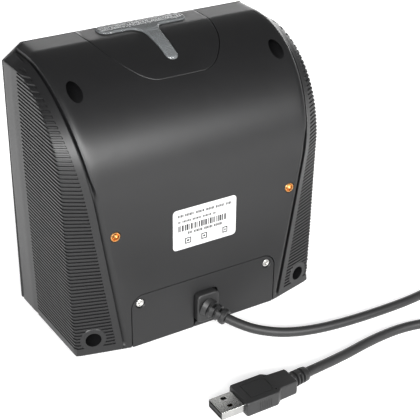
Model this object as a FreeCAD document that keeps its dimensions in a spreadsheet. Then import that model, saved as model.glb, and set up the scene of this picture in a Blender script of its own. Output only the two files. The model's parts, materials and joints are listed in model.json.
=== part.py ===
import FreeCAD, Part
import math
import os
import re
import Sketcher

# Desktop barcode scanner that stands on its flat base. Millimetres, +Z up.
# The reading window faces -Y and the cable leaves the rear panel, which faces +Y.
# The origin is on the ground below the middle of the housing.

doc = FreeCAD.newDocument("BarcodeScanner")
Vector = FreeCAD.Vector

# ---------------------------------------------------------------- driving dimensions

SIZES = {
    # housing
    "half_width": 73, "height": 144.9, "rear_y": 41, "front_y": -41, "split_y": -29.7,
    "foot_proud": 0.5, "wall": 2.5, "top_chamfer": 8.7,
    # plan section of the back: flat panel, slanted corner and side, at the base and at the roll
    "panel_half_base": 42.8, "panel_half_roll": 58.3,
    "side_half_base": 70.6, "bend_setback_base": 7, "bend_setback_roll": 9,
    "roll_height": 83.4, "roll_radius": 62.3,
    # seam between the middle shell and the side covers
    "seam_half_base": 46.8, "seam_half_knee": 65.9, "seam_half_top": 67.4, "seam_knee_height": 125,
    # front bezel and reading window
    "window_width": 112, "window_height": 96, "window_centre_height": 70,
    "bezel_face": 2.5, "pane_margin": 3.4, "pane_thickness": 2, "gasket_thickness": 1.5,
    # indicator panel in the top, and its light pipe
    "insert_half_front": 34.2, "insert_half_rear": 15, "insert_rear_y": 17.9, "seam_gap": 0.12,
    "pipe_proud": 0.8, "pipe_depth": 4.1, "bar_half": 24.6, "bar_front_y": -29.4, "bar_rear_y": -19,
    "tail_half_root": 7.5, "tail_half_neck": 3.9, "tail_half_end": 3.1, "tail_end_y": 9.7,
    # cover over the cable socket
    "cover_half": 42.6, "cover_top": 30.4, "cover_corner": 7, "cover_thickness": 2.4, "cover_gap": 0.25,
    "notch_left": -7.3, "notch_right": 6.7, "notch_top": 21.4,
    "cover_screw_half": 37.7, "cover_screw_height": 25.7,
    # case screws in their deep bores
    "upper_bore_half": 56.1, "upper_bore_height": 133.7, "upper_bore_radius": 4.3, "upper_seat_y": -6,
    "lower_bore_half": 62, "lower_bore_height": 9.3, "lower_bore_radius": 3.9, "lower_seat_y": 18,
    "bore_wall": 1.5, "post_radius": 4.2, "seat_thickness": 2,
    # brass inserts for a bracket
    "insert_half_spacing": 50.2, "insert_height": 67.6, "insert_radius": 2.55, "insert_bore": 1.3,
    "insert_length": 6, "insert_boss": 4.4,
    # boards
    "board_thickness": 1.6, "main_half": 42, "main_low": 12, "main_high": 102, "main_front_y": 30,
    "main_post_half": 36, "main_post_low": 40, "main_post_high": 94,
    # camera
    "sight_height": 70, "camera_front_y": 6, "camera_depth": 14,
    # cable
    "cable_radius": 2.5, "coil_x": -163, "coil_y": 106, "coil_radius_out": 37.5, "coil_radius_in": 20,
}

sheet = doc.addObject("Spreadsheet::Sheet", "Sizes")
for row, (alias, number) in enumerate(SIZES.items(), start=1):
    sheet.set(f"A{row}", alias)
    sheet.set(f"B{row}", str(number))
    sheet.setAlias(f"B{row}", alias)
doc.recompute()

SCRATCH_CELL = "D1"
WORD = re.compile(r"[a-z][a-z_]+")


def refs(text):
    """The expression with each size's name pointing at its cell."""
    return WORD.sub(lambda word: "Sizes." + word.group() if word.group() in SIZES else word.group(), str(text))


def value(text):
    """The number that the sheet works out for an expression of sizes."""
    sheet.set(SCRATCH_CELL, "=" + str(text))
    sheet.recompute()
    return float(sheet.get(SCRATCH_CELL))


# ---------------------------------------------------------------- building blocks

def place(item, x=0, y=0, z=0):
    for letter, text in zip("xyz", (x, y, z)):
        item.setExpression(f"Placement.Base.{letter}", refs(text))
    return item


def box(name, x, y, z):
    """A block from three (low, high) pairs."""
    item = doc.addObject("Part::Box", name)
    for prop, (low, high) in zip(("Length", "Width", "Height"), (x, y, z)):
        item.setExpression(prop, refs(f"({high}) - ({low})"))
    return place(item, x[0], y[0], z[0])


def cylinder(name, radius, length, start, along=Vector(0, 1, 0)):
    item = doc.addObject("Part::Cylinder", name)
    item.setExpression("Radius", refs(radius))
    item.setExpression("Height", refs(length))
    item.Placement = FreeCAD.Placement(Vector(), FreeCAD.Rotation(Vector(0, 0, 1), along))
    return place(item, *start)


def cone(name, radii, length, start, along):
    item = doc.addObject("Part::Cone", name)
    item.Radius1, item.Radius2 = radii
    item.Height = length
    item.Placement = FreeCAD.Placement(Vector(*start), FreeCAD.Rotation(Vector(0, 0, 1), along))
    return item


def fuse(name, *items):
    item = doc.addObject("Part::MultiFuse", name)
    item.Shapes = list(items)
    item.Refine = True
    return item


def cut(name, base, *tools):
    item = doc.addObject("Part::Cut", name)
    item.Base = base
    item.Tool = tools[0] if len(tools) == 1 else fuse(name + "_tools", *tools)
    return item


def common(name, *items):
    item = doc.addObject("Part::MultiCommon", name)
    item.Shapes = list(items)
    return item


def group(name, items):
    """Identical pieces that share one node, each a solid of its own."""
    item = doc.addObject("Part::Compound", name)
    item.Links = list(items)
    return item


def new_body(name):
    return doc.addObject("PartDesign::Body", name)


def outline(body, name, role, points, offset=0):
    """A closed outline of straight sides on one of the body's own planes."""
    sketch = body.newObject("Sketcher::SketchObject", name)
    plane = next(feature for feature in body.Origin.OriginFeatures if feature.Role == role)
    sketch.AttachmentSupport = [(plane, "")]
    sketch.MapMode = "FlatFace"
    sketch.setExpression("AttachmentOffset.Base.z", refs(offset))
    corners = [Vector(value(across), value(along), 0) for across, along in points]
    following = corners[1:] + corners[:1]
    for start, end in zip(corners, following):
        sketch.addGeometry(Part.LineSegment(start, end), False)
    count = len(points)
    for side in range(count):
        sketch.addConstraint(Sketcher.Constraint("Coincident", side, 2, (side + 1) % count, 1))
    for side, texts in enumerate(points):
        for kind, text in zip(("DistanceX", "DistanceY"), texts):
            number = sketch.addConstraint(Sketcher.Constraint(kind, -1, 1, side, 1, value(text)))
            sketch.setExpression(f"Constraints[{number}]", refs(text))
    return sketch


def mirrored(points):
    """The outline of points on the +X side, and the same points on the -X side."""
    return points + [(f"-({across})", along) for across, along in reversed(points)]


def rectangle(low, high):
    return [(low[0], low[1]), (high[0], low[1]), (high[0], high[1]), (low[0], high[1])]


def pad(body, sketch, length, reverse=False):
    feature = body.newObject("PartDesign::Pad", sketch.Name + "_pad")
    feature.Profile = sketch
    feature.setExpression("Length", refs(length))
    feature.Reversed = reverse
    return feature


def plate(name, points, role, start, length):
    """A body padded from one outline, in the plane's own direction."""
    body = new_body(name)
    pad(body, outline(body, name + "_outline", role, points, start), length)
    return body


def loft(body, name, sketches, kind="PartDesign::AdditiveLoft"):
    feature = body.newObject(kind, name)
    feature.Profile = sketches[0]
    feature.Sections = sketches[1:]
    feature.Ruled = True
    return feature


def round_edges(body, name, radius, test):
    """Rounds the edges of the body's tip whose middle passes the test."""
    doc.recompute()
    tip = body.Tip
    names = [f"Edge{number}" for number, edge in enumerate(tip.Shape.Edges, start=1)
             if test(edge.CenterOfMass)]
    feature = body.newObject("PartDesign::Fillet", name)
    feature.Base = (tip, names)
    feature.setExpression("Radius", refs(radius))
    return feature


def near(number, text, gap=0.05):
    return abs(number - value(text)) < gap


NODES = []


def node(item, label):
    """Names a finished sub-part."""
    item.Label = label
    NODES.append(item)
    return item


# ---------------------------------------------------------------- housing envelope

def housing_form(name, inset):
    """The solid inside the housing's outer skin, moved in by inset on every side but the base."""
    side = f"half_width - ({inset})"
    rear = f"rear_y - ({inset})"
    roll_y = "rear_y - roll_radius"
    roll_side = f"roll_radius - bend_setback_roll - ({inset}) * 0.6"

    lower = new_body(name + "_lower")
    base = outline(lower, name + "_base_section", "XY_Plane", mirrored([
        (side, "split_y"),
        (f"side_half_base - ({inset})", f"rear_y - bend_setback_base - ({inset}) * 0.6"),
        (f"panel_half_base - ({inset}) * 0.15", rear)]))
    roll = outline(lower, name + "_roll_section", "XY_Plane", mirrored([
        (side, "split_y"),
        (side, f"{roll_y} + {roll_side}"),
        (f"panel_half_roll - ({inset}) * 0.27", rear)]), "roll_height")
    loft(lower, name + "_lower_loft", [base, roll])

    upper = new_body(name + "_upper")
    section = outline(upper, name + "_turned_section", "XY_Plane", mirrored([
        (side, "0"), (side, roll_side),
        (f"panel_half_roll - ({inset}) * 0.27", f"roll_radius - ({inset})")]), "roll_height")
    section.setExpression("AttachmentOffset.Base.y", refs(roll_y))
    turned = upper.newObject("PartDesign::Revolution", name + "_turn")
    turned.Profile = section
    turned.ReferenceAxis = (section, ["H_Axis"])
    turned.Angle = 90

    front = box(name + "_front_block", (f"-({side})", side), ("split_y", roll_y),
                ("roll_height - 1", "roll_height + roll_radius"))

    top = f"height - ({inset})"
    chamfer = f"(top_chamfer - ({inset}) * 0.586)"
    low = "foot_proud" if str(inset) == "0" else "-1"
    envelope = plate(name + "_envelope", mirrored([
        (side, low), (side, f"{top} - {chamfer}"), (f"{side} - {chamfer}", top)]),
        "XZ_Plane", "-(rear_y + 5)", "rear_y + 5 - split_y")
    return common(name, fuse(name + "_bulk", lower, upper, front), envelope)


skin = housing_form("skin", "0")
cavity = housing_form("cavity", "wall")
ledge_form = housing_form("ledge_form", "pipe_depth")
proud_form = housing_form("proud_form", "-pipe_proud")
hollow_skin = cut("hollow_skin", skin, cavity)

SIDES = {"right": "1", "left": "-1"}


def side_region(name, sign):
    """Everything outboard of the seam, seen along Y."""
    points = [("seam_half_base", "-1"), ("seam_half_knee", "seam_knee_height"),
              ("seam_half_top", "height + 3"), ("half_width + 5", "height + 3"), ("half_width + 5", "-1")]
    return plate(name, [(f"{sign} * ({across})", along) for across, along in points],
                 "XZ_Plane", "-(rear_y + 5)", "rear_y + 5 - split_y")


regions = {name: side_region(name + "_region", sign) for name, sign in SIDES.items()}


def bore_parts(name, sign, half, level, radius, seat):
    """The tube, counterbore and through hole for one deep case screw."""
    x = f"{sign} * {half}"
    tube = cylinder(name + "_tube", f"{radius} + bore_wall", f"rear_y + 5 - ({seat}) + seat_thickness",
                    (x, f"{seat} - seat_thickness", level))
    sink = cylinder(name + "_sink", radius, f"rear_y + 5 - ({seat})", (x, seat, level))
    through = cylinder(name + "_through", 1.8, 10, (x, f"{seat} - 5", level))
    return tube, sink, through


# ---------------------------------------------------------------- side covers

def side_cover(name, sign):
    tube, sink, through = bore_parts(name + "_bore", sign, "lower_bore_half", "lower_bore_height",
                                     "lower_bore_radius", "lower_seat_y")
    panel = common(name + "_panel", hollow_skin, regions[name])
    inside_tube = common(name + "_tube_inside", skin, tube)
    cover = cut(name + "_cover", fuse(name + "_solid", panel, inside_tube), sink, through)
    return node(cover, name + "_side_cover")


for name, sign in SIDES.items():
    side_cover(name, sign)

# ---------------------------------------------------------------- indicator panel and light pipe


def insert_outline(grow):
    """The panel's plan: straight front part, then sides that curve in to a short rear edge."""
    widths = [("insert_half_front", "split_y - 1"), ("insert_half_front", "split_y + 16"),
              ("insert_half_front - 2", "insert_rear_y - 19.4"),
              ("insert_half_front - 5.4", "insert_rear_y - 11.5"),
              ("insert_half_front - 10.6", "insert_rear_y - 4.4"),
              ("insert_half_front - 15.5", "insert_rear_y - 0.9"),
              ("insert_half_rear", "insert_rear_y")]
    return mirrored([(f"{across} + ({grow})", f"{along} + ({grow})") for across, along in widths])


PIPE_PLAN = mirrored([("bar_half - 3", "bar_front_y"), ("bar_half", "bar_front_y + 3"),
                      ("bar_half", "bar_rear_y - 3"), ("bar_half - 3", "bar_rear_y"),
                      ("tail_half_root", "bar_rear_y"), ("tail_half_neck", "bar_rear_y + 6"),
                      ("tail_half_end", "tail_end_y - 2"), ("tail_half_end - 1.4", "tail_end_y")])


def top_prism(name, points):
    return plate(name, points, "XY_Plane", "110", "40")


insert_hole = top_prism("insert_hole", insert_outline("seam_gap"))
insert_plan = top_prism("insert_plan", insert_outline("0"))
ledge_outer = top_prism("ledge_outer", insert_outline("2.2"))
ledge_inner = top_prism("ledge_inner", insert_outline("-2.2"))
pipe_prism = top_prism("pipe_prism", PIPE_PLAN)

insert_post_places = [("-24", "-15"), ("24", "-15")]
insert_posts = [cylinder(f"insert_post_{side}", 2.2, "height - wall - 135.6 + 0.5", (x, y, 135.6),
                         Vector(0, 0, 1)) for side, (x, y) in enumerate(insert_post_places)]
insert_screw_holes = [cylinder(f"insert_post_hole_{side}", 1.02, 5.5, (x, y, 135), Vector(0, 0, 1))
                      for side, (x, y) in enumerate(insert_post_places)]
insert_skin = common("insert_skin", hollow_skin, insert_plan)
node(cut("insert_panel", fuse("insert_with_posts", insert_skin, *insert_posts),
         pipe_prism, *insert_screw_holes), "indicator_panel")
node(cut("light_pipe", common("pipe_bulk", proud_form, pipe_prism), ledge_form), "indicator_light_pipe")

indicator_board = box("indicator_board_blank", (-27, 27), (-27.7, -12), (134, 135.6))
indicator_holes = [cylinder(f"indicator_hole_{side}", 1.3, 4, (x, y, 133), Vector(0, 0, 1))
                   for side, (x, y) in enumerate(insert_post_places)]
node(cut("indicator_board_cut", indicator_board, *indicator_holes), "indicator_board")

INDICATOR_LED_PITCH = 10
indicator_leds = [box(f"indicator_led_{place_number}", (x - 1.5, x + 1.5), (-26.5, -23.5), (135.6, 136.7))
                  for place_number, x in enumerate(range(-20, 21, INDICATOR_LED_PITCH))]
indicator_leds.append(box("indicator_led_tail", (-1.5, 1.5), (-16.5, -13.5), (135.6, 136.7)))
node(group("indicator_led_group", indicator_leds), "indicator_leds")


def screw(name, start, shank_radius, length, head_radius, head_height, along):
    """A pan-head screw: its head's seat at start, its shank running along the given direction."""
    head_start = [f"({text}) - ({step}) * ({head_height})" for text, step in zip(start, along)]
    head = cylinder(name + "_head", head_radius, head_height, head_start, along)
    shank = cylinder(name + "_shank", shank_radius, length, start, along)
    recess_half = head_radius * 0.5
    depth = head_height * 0.55
    slots = []
    for turn, (wide, tall) in enumerate(((recess_half, head_radius * 0.14), (head_radius * 0.14, recess_half))):
        slot = doc.addObject("Part::Box", f"{name}_slot_{turn}")
        slot.Length, slot.Width, slot.Height = 2 * wide, 2 * tall, depth
        turned = FreeCAD.Rotation(Vector(0, 0, 1), along)
        corner = Vector(*[value(text) for text in head_start]) + turned.multVec(Vector(-wide, -tall, 0))
        slot.Placement = FreeCAD.Placement(corner, turned)
        slots.append(slot)
    return cut(name, fuse(name + "_solid", head, shank), *slots)


REARWARD, FORWARD, UPWARD = Vector(0, 1, 0), Vector(0, -1, 0), Vector(0, 0, 1)

node(group("indicator_screw_group", [
    screw(f"indicator_screw_{side}", (x, y, "134"), 1, 5.5, 2, 1.4, UPWARD)
    for side, (x, y) in enumerate(insert_post_places)]), "indicator_board_screws")

# ---------------------------------------------------------------- middle shell

upper_bores = {name: bore_parts(name + "_upper_bore", sign, "upper_bore_half", "upper_bore_height",
                                "upper_bore_radius", "upper_seat_y") for name, sign in SIDES.items()}
bore_tubes = [parts[0] for parts in upper_bores.values()]
bore_holes = [hole for parts in upper_bores.values() for hole in parts[1:]]

insert_bosses, insert_sockets, cover_bosses, cover_boss_holes = [], [], [], []
for name, sign in SIDES.items():
    x = f"{sign} * insert_half_spacing"
    insert_bosses.append(cylinder(name + "_insert_boss", "insert_boss", "insert_length + 1.5",
                                  (x, "rear_y - insert_length - 2", "insert_height")))
    insert_sockets.append(cylinder(name + "_insert_socket", "insert_radius", "insert_length + 1",
                                   (x, "rear_y - insert_length", "insert_height")))
    x = f"{sign} * cover_screw_half"
    cover_bosses.append(box(name + "_cover_boss", (f"{x} - 3.4", f"{x} + 3.4"),
                            ("rear_y - 8.5", "rear_y - cover_thickness - 0.3"),
                            ("cover_screw_height - 3.4", "cover_top + 4")))
    cover_bosses.append(box(name + "_cover_boss_root", (f"{x} - 3.4", f"{x} + 3.4"),
                            ("rear_y - 8.5", "rear_y - wall + 0.5"), ("cover_top + 1", "cover_top + 4")))
    cover_boss_holes.append(cylinder(name + "_cover_boss_hole", 1.48, 12,
                                     (x, "rear_y - 10", "cover_screw_height")))

board_post_places = [(f"{sign} * main_post_half", level)
                     for sign in SIDES.values() for level in ("main_post_low", "main_post_high")]
board_posts = [cylinder(f"board_post_{corner}", 3, "rear_y - 2 - main_front_y - board_thickness",
                        (x, "main_front_y + board_thickness", level))
               for corner, (x, level) in enumerate(board_post_places)]
board_post_holes = [cylinder(f"board_post_hole_{corner}", 1.22, 6, (x, "main_front_y", level))
                    for corner, (x, level) in enumerate(board_post_places)]

cover_hole = plate("cover_hole", mirrored([("cover_half + cover_gap", "-1"),
                                           ("cover_half + cover_gap", "cover_top + cover_gap")]),
                   "XZ_Plane", "-(rear_y + 5)", "5 + wall + 1")
round_edges(cover_hole, "cover_hole_corners", "cover_corner",
            lambda c: near(abs(c.x), "cover_half + cover_gap") and near(c.z, "cover_top + cover_gap"))

middle_skin = cut("middle_skin", hollow_skin, *regions.values(), insert_hole, cover_hole)
ledge = cut("ledge", common("ledge_skin", cut("ledge_layer", cavity, ledge_form), ledge_outer), ledge_inner)
fittings = common("shell_fittings", skin,
                  fuse("fitting_blanks", *bore_tubes, *insert_bosses, *cover_bosses, *board_posts))
node(cut("middle_shell", fuse("middle_solid", middle_skin, ledge, fittings),
         *bore_holes, *insert_sockets, *cover_boss_holes, *board_post_holes), "rear_shell")

node(group("insert_group", [
    cut(name + "_brass_insert",
        cylinder(name + "_brass_outer", "insert_radius", "insert_length",
                 (f"{sign} * insert_half_spacing", "rear_y - insert_length", "insert_height")),
        cylinder(name + "_brass_bore", "insert_bore", "insert_length",
                 (f"{sign} * insert_half_spacing", "rear_y - insert_length", "insert_height")))
    for name, sign in SIDES.items()]), "mounting_inserts")

# ---------------------------------------------------------------- connector cover

cover = new_body("connector_cover_body")
cover_face = outline(cover, "cover_face", "XZ_Plane", [
    ("-cover_half", "foot_proud"), ("-cover_half", "cover_top"), ("cover_half", "cover_top"),
    ("cover_half", "foot_proud"), ("notch_right", "foot_proud"), ("notch_right", "notch_top"),
    ("notch_left", "notch_top"), ("notch_left", "foot_proud")], "-rear_y")
pad(cover, cover_face, "cover_thickness")
round_edges(cover, "cover_corners", "cover_corner",
            lambda c: near(abs(c.x), "cover_half") and near(c.z, "cover_top"))
cover_sinks = []
for name, sign in SIDES.items():
    x = f"{sign} * cover_screw_half"
    cover_sinks.append(cylinder(name + "_cover_sink", 2.9, 3, (x, "rear_y - 1.3", "cover_screw_height")))
    cover_sinks.append(cylinder(name + "_cover_clear", 1.6, 5, (x, "rear_y - 4", "cover_screw_height")))
node(cut("connector_cover_cut", cover, *cover_sinks), "connector_cover")

node(group("cover_screw_group", [
    screw(name + "_cover_screw", (f"{sign} * cover_screw_half", "rear_y - 1.3", "cover_screw_height"),
          1.4, 5, 2.2, 1.2, FORWARD) for name, sign in SIDES.items()]), "connector_cover_screws")

# ---------------------------------------------------------------- front bezel and window

bezel = new_body("bezel_body")
window_low = "window_centre_height - window_height / 2"
window_high = "window_centre_height + window_height / 2"
step = "(split_y - front_y)"


def bezel_outline(name, inset, offset):
    return outline(bezel, name, "XZ_Plane", mirrored([
        (f"half_width - {inset}", f"foot_proud + {inset} * 0.6"),
        (f"half_width - {inset}", f"height - top_chamfer - {inset} * 0.41"),
        (f"half_width - top_chamfer - {inset} * 0.41", f"height - {inset}")]), offset)


loft(bezel, "bezel_taper", [bezel_outline("bezel_rear", "0", "-split_y"),
                            bezel_outline("bezel_front", step, "-front_y")])
round_edges(bezel, "bezel_front_round", 1.5, lambda c: near(c.y, "front_y"))

opening = box("window_opening", ("-window_width / 2", "window_width / 2"), ("front_y - 1", "split_y + 1"),
              (window_low, window_high))
pane_half = "window_width / 2 + pane_margin"
pocket = box("pane_pocket", (f"-({pane_half} + 0.1)", f"{pane_half} + 0.1"),
             ("front_y + bezel_face", "split_y + 1"),
             (f"{window_low} - pane_margin - 0.1", f"{window_high} + pane_margin + 0.1"))

posts, post_holes = [], []
for name, sign in SIDES.items():
    for level, half, height, seat in (
            ("upper", "upper_bore_half", "upper_bore_height", "upper_seat_y"),
            ("lower", "lower_bore_half", "lower_bore_height", "lower_seat_y")):
        x = f"{sign} * {half}"
        end = f"{seat} - seat_thickness - 0.1"
        posts.append(cylinder(f"{name}_{level}_post", "post_radius", f"{end} - split_y + 1",
                              (x, "split_y - 1", height)))
        post_holes.append(cylinder(f"{name}_{level}_post_hole", 1.52, 18, (x, f"{end} - 17", height)))
bezel_ring = cut("bezel_ring", bezel, opening, pocket)
node(cut("bezel_drilled", fuse("bezel_with_posts", bezel_ring, *posts), *post_holes), "front_bezel")

for level, half, height, seat in (("upper", "upper_bore_half", "upper_bore_height", "upper_seat_y"),
                                  ("lower", "lower_bore_half", "lower_bore_height", "lower_seat_y")):
    node(group(level + "_case_screw_group", [
        screw(f"{name}_{level}_case_screw", (f"{sign} * {half}", seat, height), 1.5, 14, 3, 2.2, FORWARD)
        for name, sign in SIDES.items()]), level + "_case_screws")

pane_y = "front_y + bezel_face"
gasket_y = f"{pane_y} + pane_thickness"
shroud_y = f"{gasket_y} + gasket_thickness"


def pane_box(name, margin, low, high):
    return box(name, (f"-(window_width / 2 + {margin})", f"window_width / 2 + {margin}"), (low, high),
               (f"{window_low} - ({margin})", f"{window_high} + ({margin})"))


node(pane_box("window_pane", "pane_margin", pane_y, gasket_y), "scan_window")
node(cut("gasket_frame", pane_box("gasket_blank", "pane_margin", gasket_y, shroud_y),
         pane_box("gasket_hole", "-1", f"{gasket_y} - 1", f"{shroud_y} + 1")), "window_gasket")

# ---------------------------------------------------------------- light shroud and reading lights

SHROUD_END_Y = -5
COLLAR_END_Y = 1


def centred(half_across, half_along):
    return rectangle((f"-({half_across})", f"sight_height - ({half_along})"),
                     (half_across, f"sight_height + ({half_along})"))


shroud = new_body("shroud_body")
flange = outline(shroud, "shroud_flange", "XZ_Plane",
                 centred("window_width / 2 + pane_margin", "window_height / 2 + pane_margin"),
                 f"-({shroud_y})")
pad(shroud, flange, 1.6, reverse=True)
loft(shroud, "shroud_outer", [
    outline(shroud, "shroud_mouth", "XZ_Plane", centred("window_width / 2 + 0.6", "window_height / 2 + 0.6"),
            f"-({shroud_y})"),
    outline(shroud, "shroud_throat", "XZ_Plane", centred("32", "24"), -SHROUD_END_Y)])
pad(shroud, outline(shroud, "shroud_collar", "XZ_Plane", centred("32", "24"), -COLLAR_END_Y),
    COLLAR_END_Y - SHROUD_END_Y)
loft(shroud, "shroud_inner", [
    outline(shroud, "shroud_mouth_in", "XZ_Plane", centred("window_width / 2 - 1", "window_height / 2 - 1"),
            f"-({shroud_y})"),
    outline(shroud, "shroud_throat_in", "XZ_Plane", centred("30.4", "22.4"), -SHROUD_END_Y)],
    "PartDesign::SubtractiveLoft")
collar_bore = shroud.newObject("PartDesign::Pocket", "shroud_collar_bore")
collar_bore.Profile = outline(shroud, "collar_bore", "XZ_Plane", centred("30.4", "22.4"), -COLLAR_END_Y)
collar_bore.Length = COLLAR_END_Y - SHROUD_END_Y
collar_bore.Reversed = True
node(shroud, "light_shroud")

LENS_CLEARANCE = 9

def sight_cylinder(name, radius, start, end):
    return cylinder(name, radius, end - start, (0, start, "sight_height"))


def sight_box(name, half_across, half_along, start, end):
    return box(name, (-half_across, half_across), (start, end),
               (f"sight_height - {half_along}", f"sight_height + {half_along}"))


node(cut("diffuser_plate", sight_box("diffuser_blank", 30.2, 22.2, -5, -3),
         sight_cylinder("diffuser_hole", LENS_CLEARANCE, -6, -2)), "illumination_diffuser")
node(cut("light_board", sight_box("light_board_blank", 30.2, 22.2, -0.6, 1),
         sight_cylinder("light_board_hole", LENS_CLEARANCE, -2, 2)), "illumination_board")
reading_leds = [box(f"reading_led_{column}_{row}", (x - 1.75, x + 1.75), (-2, -0.6),
                    (f"sight_height + {z} - 1.75", f"sight_height + {z} + 1.75"))
                for column, x in enumerate((-24, -14, 14, 24)) for row, z in enumerate((-15, 15))]
node(group("reading_led_group", reading_leds), "illumination_leds")

# ---------------------------------------------------------------- camera

camera_rear = "camera_front_y + camera_depth"
node(cut("camera_block", box("camera_blank", (-17, 17), ("camera_front_y", camera_rear),
                             ("sight_height - 12", "sight_height + 12")),
         cylinder("camera_well", 6.4, 13, (0, "camera_front_y - 1", "sight_height")),
         cylinder("aimer_well", 3.05, 10, (12, "camera_front_y - 1", "sight_height"))), "imager_body")
node(cut("barrel", cylinder("barrel_outer", 6.4, 14, (0, "camera_front_y - 8", "sight_height")),
         cylinder("barrel_bore", 5, 16, (0, "camera_front_y - 9", "sight_height"))), "lens_barrel")
node(group("lens_group", [
    common("lens_front", cylinder("lens_front_disc", 5, 2.4, (0, "camera_front_y - 7.4", "sight_height")),
           place(doc.addObject("Part::Sphere", "lens_ball"), 0, "camera_front_y - 2.4", "sight_height")),
    cylinder("lens_rear", 5, 1.6, (0, "camera_front_y + 2", "sight_height"))]), "camera_lenses")
doc.getObject("lens_ball").Radius = 5.6
node(cylinder("aimer", 3, 9, (12, "camera_front_y - 0.5", "sight_height")), "aiming_module")
node(box("sensor_board_blank", (-19, 19), (camera_rear, f"{camera_rear} + board_thickness"),
         ("sight_height - 15", "sight_height + 15")), "sensor_board")

sensor_rear = f"{camera_rear} + board_thickness"
bracket_plate = box("bracket_plate", (-28, 28), (f"{sensor_rear} + 2", f"{sensor_rear} + 3.5"),
                    ("sight_height - 18", "sight_height + 18"))
bracket_pins = []
for side in (-1, 1):
    for row in (-1, 1):
        tag = f"{'left' if side < 0 else 'right'}_{'low' if row < 0 else 'high'}"
        bracket_pins.append(cylinder(f"{tag}_pin", 1.5, 2.5,
                                     (15 * side, sensor_rear, f"sight_height + {12 * row}")))
        bracket_pins.append(cylinder(f"{tag}_leg", 2, f"main_front_y - ({sensor_rear}) - 3",
                                     (24 * side, f"{sensor_rear} + 3", f"sight_height + {14 * row}")))
node(fuse("bracket", bracket_plate, *bracket_pins), "imager_bracket")

RIBBON = 0.4
node(plate("ribbon", [(f"{sensor_rear}", "sight_height - 12"), (f"{sensor_rear}", "sight_height - 21"),
                      ("main_front_y", "sight_height - 21"), ("main_front_y", f"sight_height - 21 + {RIBBON}"),
                      (f"{sensor_rear} + {RIBBON}", f"sight_height - 21 + {RIBBON}"),
                      (f"{sensor_rear} + {RIBBON}", "sight_height - 12")], "YZ_Plane", "-6", "12"),
     "imager_flat_cable")

# ---------------------------------------------------------------- main board

main_rear = "main_front_y + board_thickness"
board_holes = [cylinder(f"board_hole_{corner}", 1.6, 4, (x, "main_front_y - 1", level))
               for corner, (x, level) in enumerate(board_post_places)]
node(cut("main_board_cut", box("main_board_blank", ("-main_half", "main_half"), ("main_front_y", main_rear),
                               ("main_low", "main_high")), *board_holes), "main_board")
node(group("board_screw_group", [
    screw(f"board_screw_{corner}", (x, "main_front_y", level), 1.2, 5.8, 2.6, 1.7, REARWARD)
    for corner, (x, level) in enumerate(board_post_places)]), "main_board_screws")
node(box("processor", (-34, -20), ("main_front_y - 1.2", "main_front_y"), (24, 38)), "processor_chip")
node(cut("beeper_can", cylinder("beeper_outer", 6, 5, (20, "main_front_y - 5", 94.5)),
         cylinder("beeper_hole", 1, 1.5, (20, "main_front_y - 5.5", 94.5))), "beeper")

HEADER = {"x": (-26, -13.5), "z": (14, 19)}
node(box("header", HEADER["x"], (main_rear, f"{main_rear} + 4.4"), HEADER["z"]), "cable_header")
node(box("wire_plug", (HEADER["x"][1], -9), (f"{main_rear} + 0.6", f"{main_rear} + 3.8"), (14.5, 18.5)),
     "cable_connector")
node(group("wire_group", [
    cylinder(f"wire_{number}", 0.42, 2.2, (-9, f"{main_rear} + 2.2", 15.1 + 0.94 * number), Vector(1, 0, 0))
    for number in range(4)]), "cable_wires")

# ---------------------------------------------------------------- base

floor_plan = mirrored([("half_width - wall - 0.3", "split_y"),
                       ("side_half_base - wall - 0.3", "rear_y - bend_setback_base - wall * 0.6 - 0.3"),
                       ("panel_half_base - wall * 0.15 - 0.3", "rear_y - wall - 0.4")])
floor = plate("floor_plate", floor_plan, "XY_Plane", "foot_proud + 0.2", "2")
FOOT_PLACES = [(-54, -20), (54, -20), (-50, 24), (50, 24)]
FOOT_RADIUS = 6
foot_recesses = [cylinder(f"foot_recess_{corner}", FOOT_RADIUS + 0.1, 1.5, (x, y, 0), UPWARD)
                 for corner, (x, y) in enumerate(FOOT_PLACES)]
FLOOR_SCREWS = [(-30, -24.7), (30, -24.7), (-34, 30), (34, 30)]
floor_holes = [cylinder(f"floor_hole_{corner}", 1.3, 6, (x, y, 0), UPWARD)
               for corner, (x, y) in enumerate(FLOOR_SCREWS)]
floor_sinks = [cylinder(f"floor_sink_{corner}", 2.3, 1.4, (x, y, 0), UPWARD)
               for corner, (x, y) in enumerate(FLOOR_SCREWS)]
node(cut("floor_cut", floor, *foot_recesses, *floor_holes, *floor_sinks), "base_plate")
node(group("foot_group", [cylinder(f"foot_{corner}", FOOT_RADIUS, 1.5, (x, y, 0), UPWARD)
                          for corner, (x, y) in enumerate(FOOT_PLACES)]), "rubber_feet")
node(group("floor_screw_group", [
    screw(f"floor_screw_{corner}", (f"{x}", f"{y}", "1.4"), 1.1, 4.5, 2.1, 0.6, UPWARD)
    for corner, (x, y) in enumerate(FLOOR_SCREWS)]), "base_plate_screws")

# ---------------------------------------------------------------- label

LABEL = {"x": (-17.5, 19), "z": (50, 72.5), "thickness": 0.15, "corner": 2}
label = new_body("label_body")
pad(label, outline(label, "label_outline", "XZ_Plane",
                   rectangle((LABEL["x"][0], LABEL["z"][0]), (LABEL["x"][1], LABEL["z"][1])),
                   f"-(rear_y + {LABEL['thickness']})"), LABEL["thickness"])
round_edges(label, "label_corners", LABEL["corner"],
            lambda c: any(abs(c.x - x) < 0.01 for x in LABEL["x"]) and any(abs(c.z - z) < 0.01 for z in LABEL["z"]))
node(label, "product_label")

# ---------------------------------------------------------------- strain relief and cable

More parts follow.
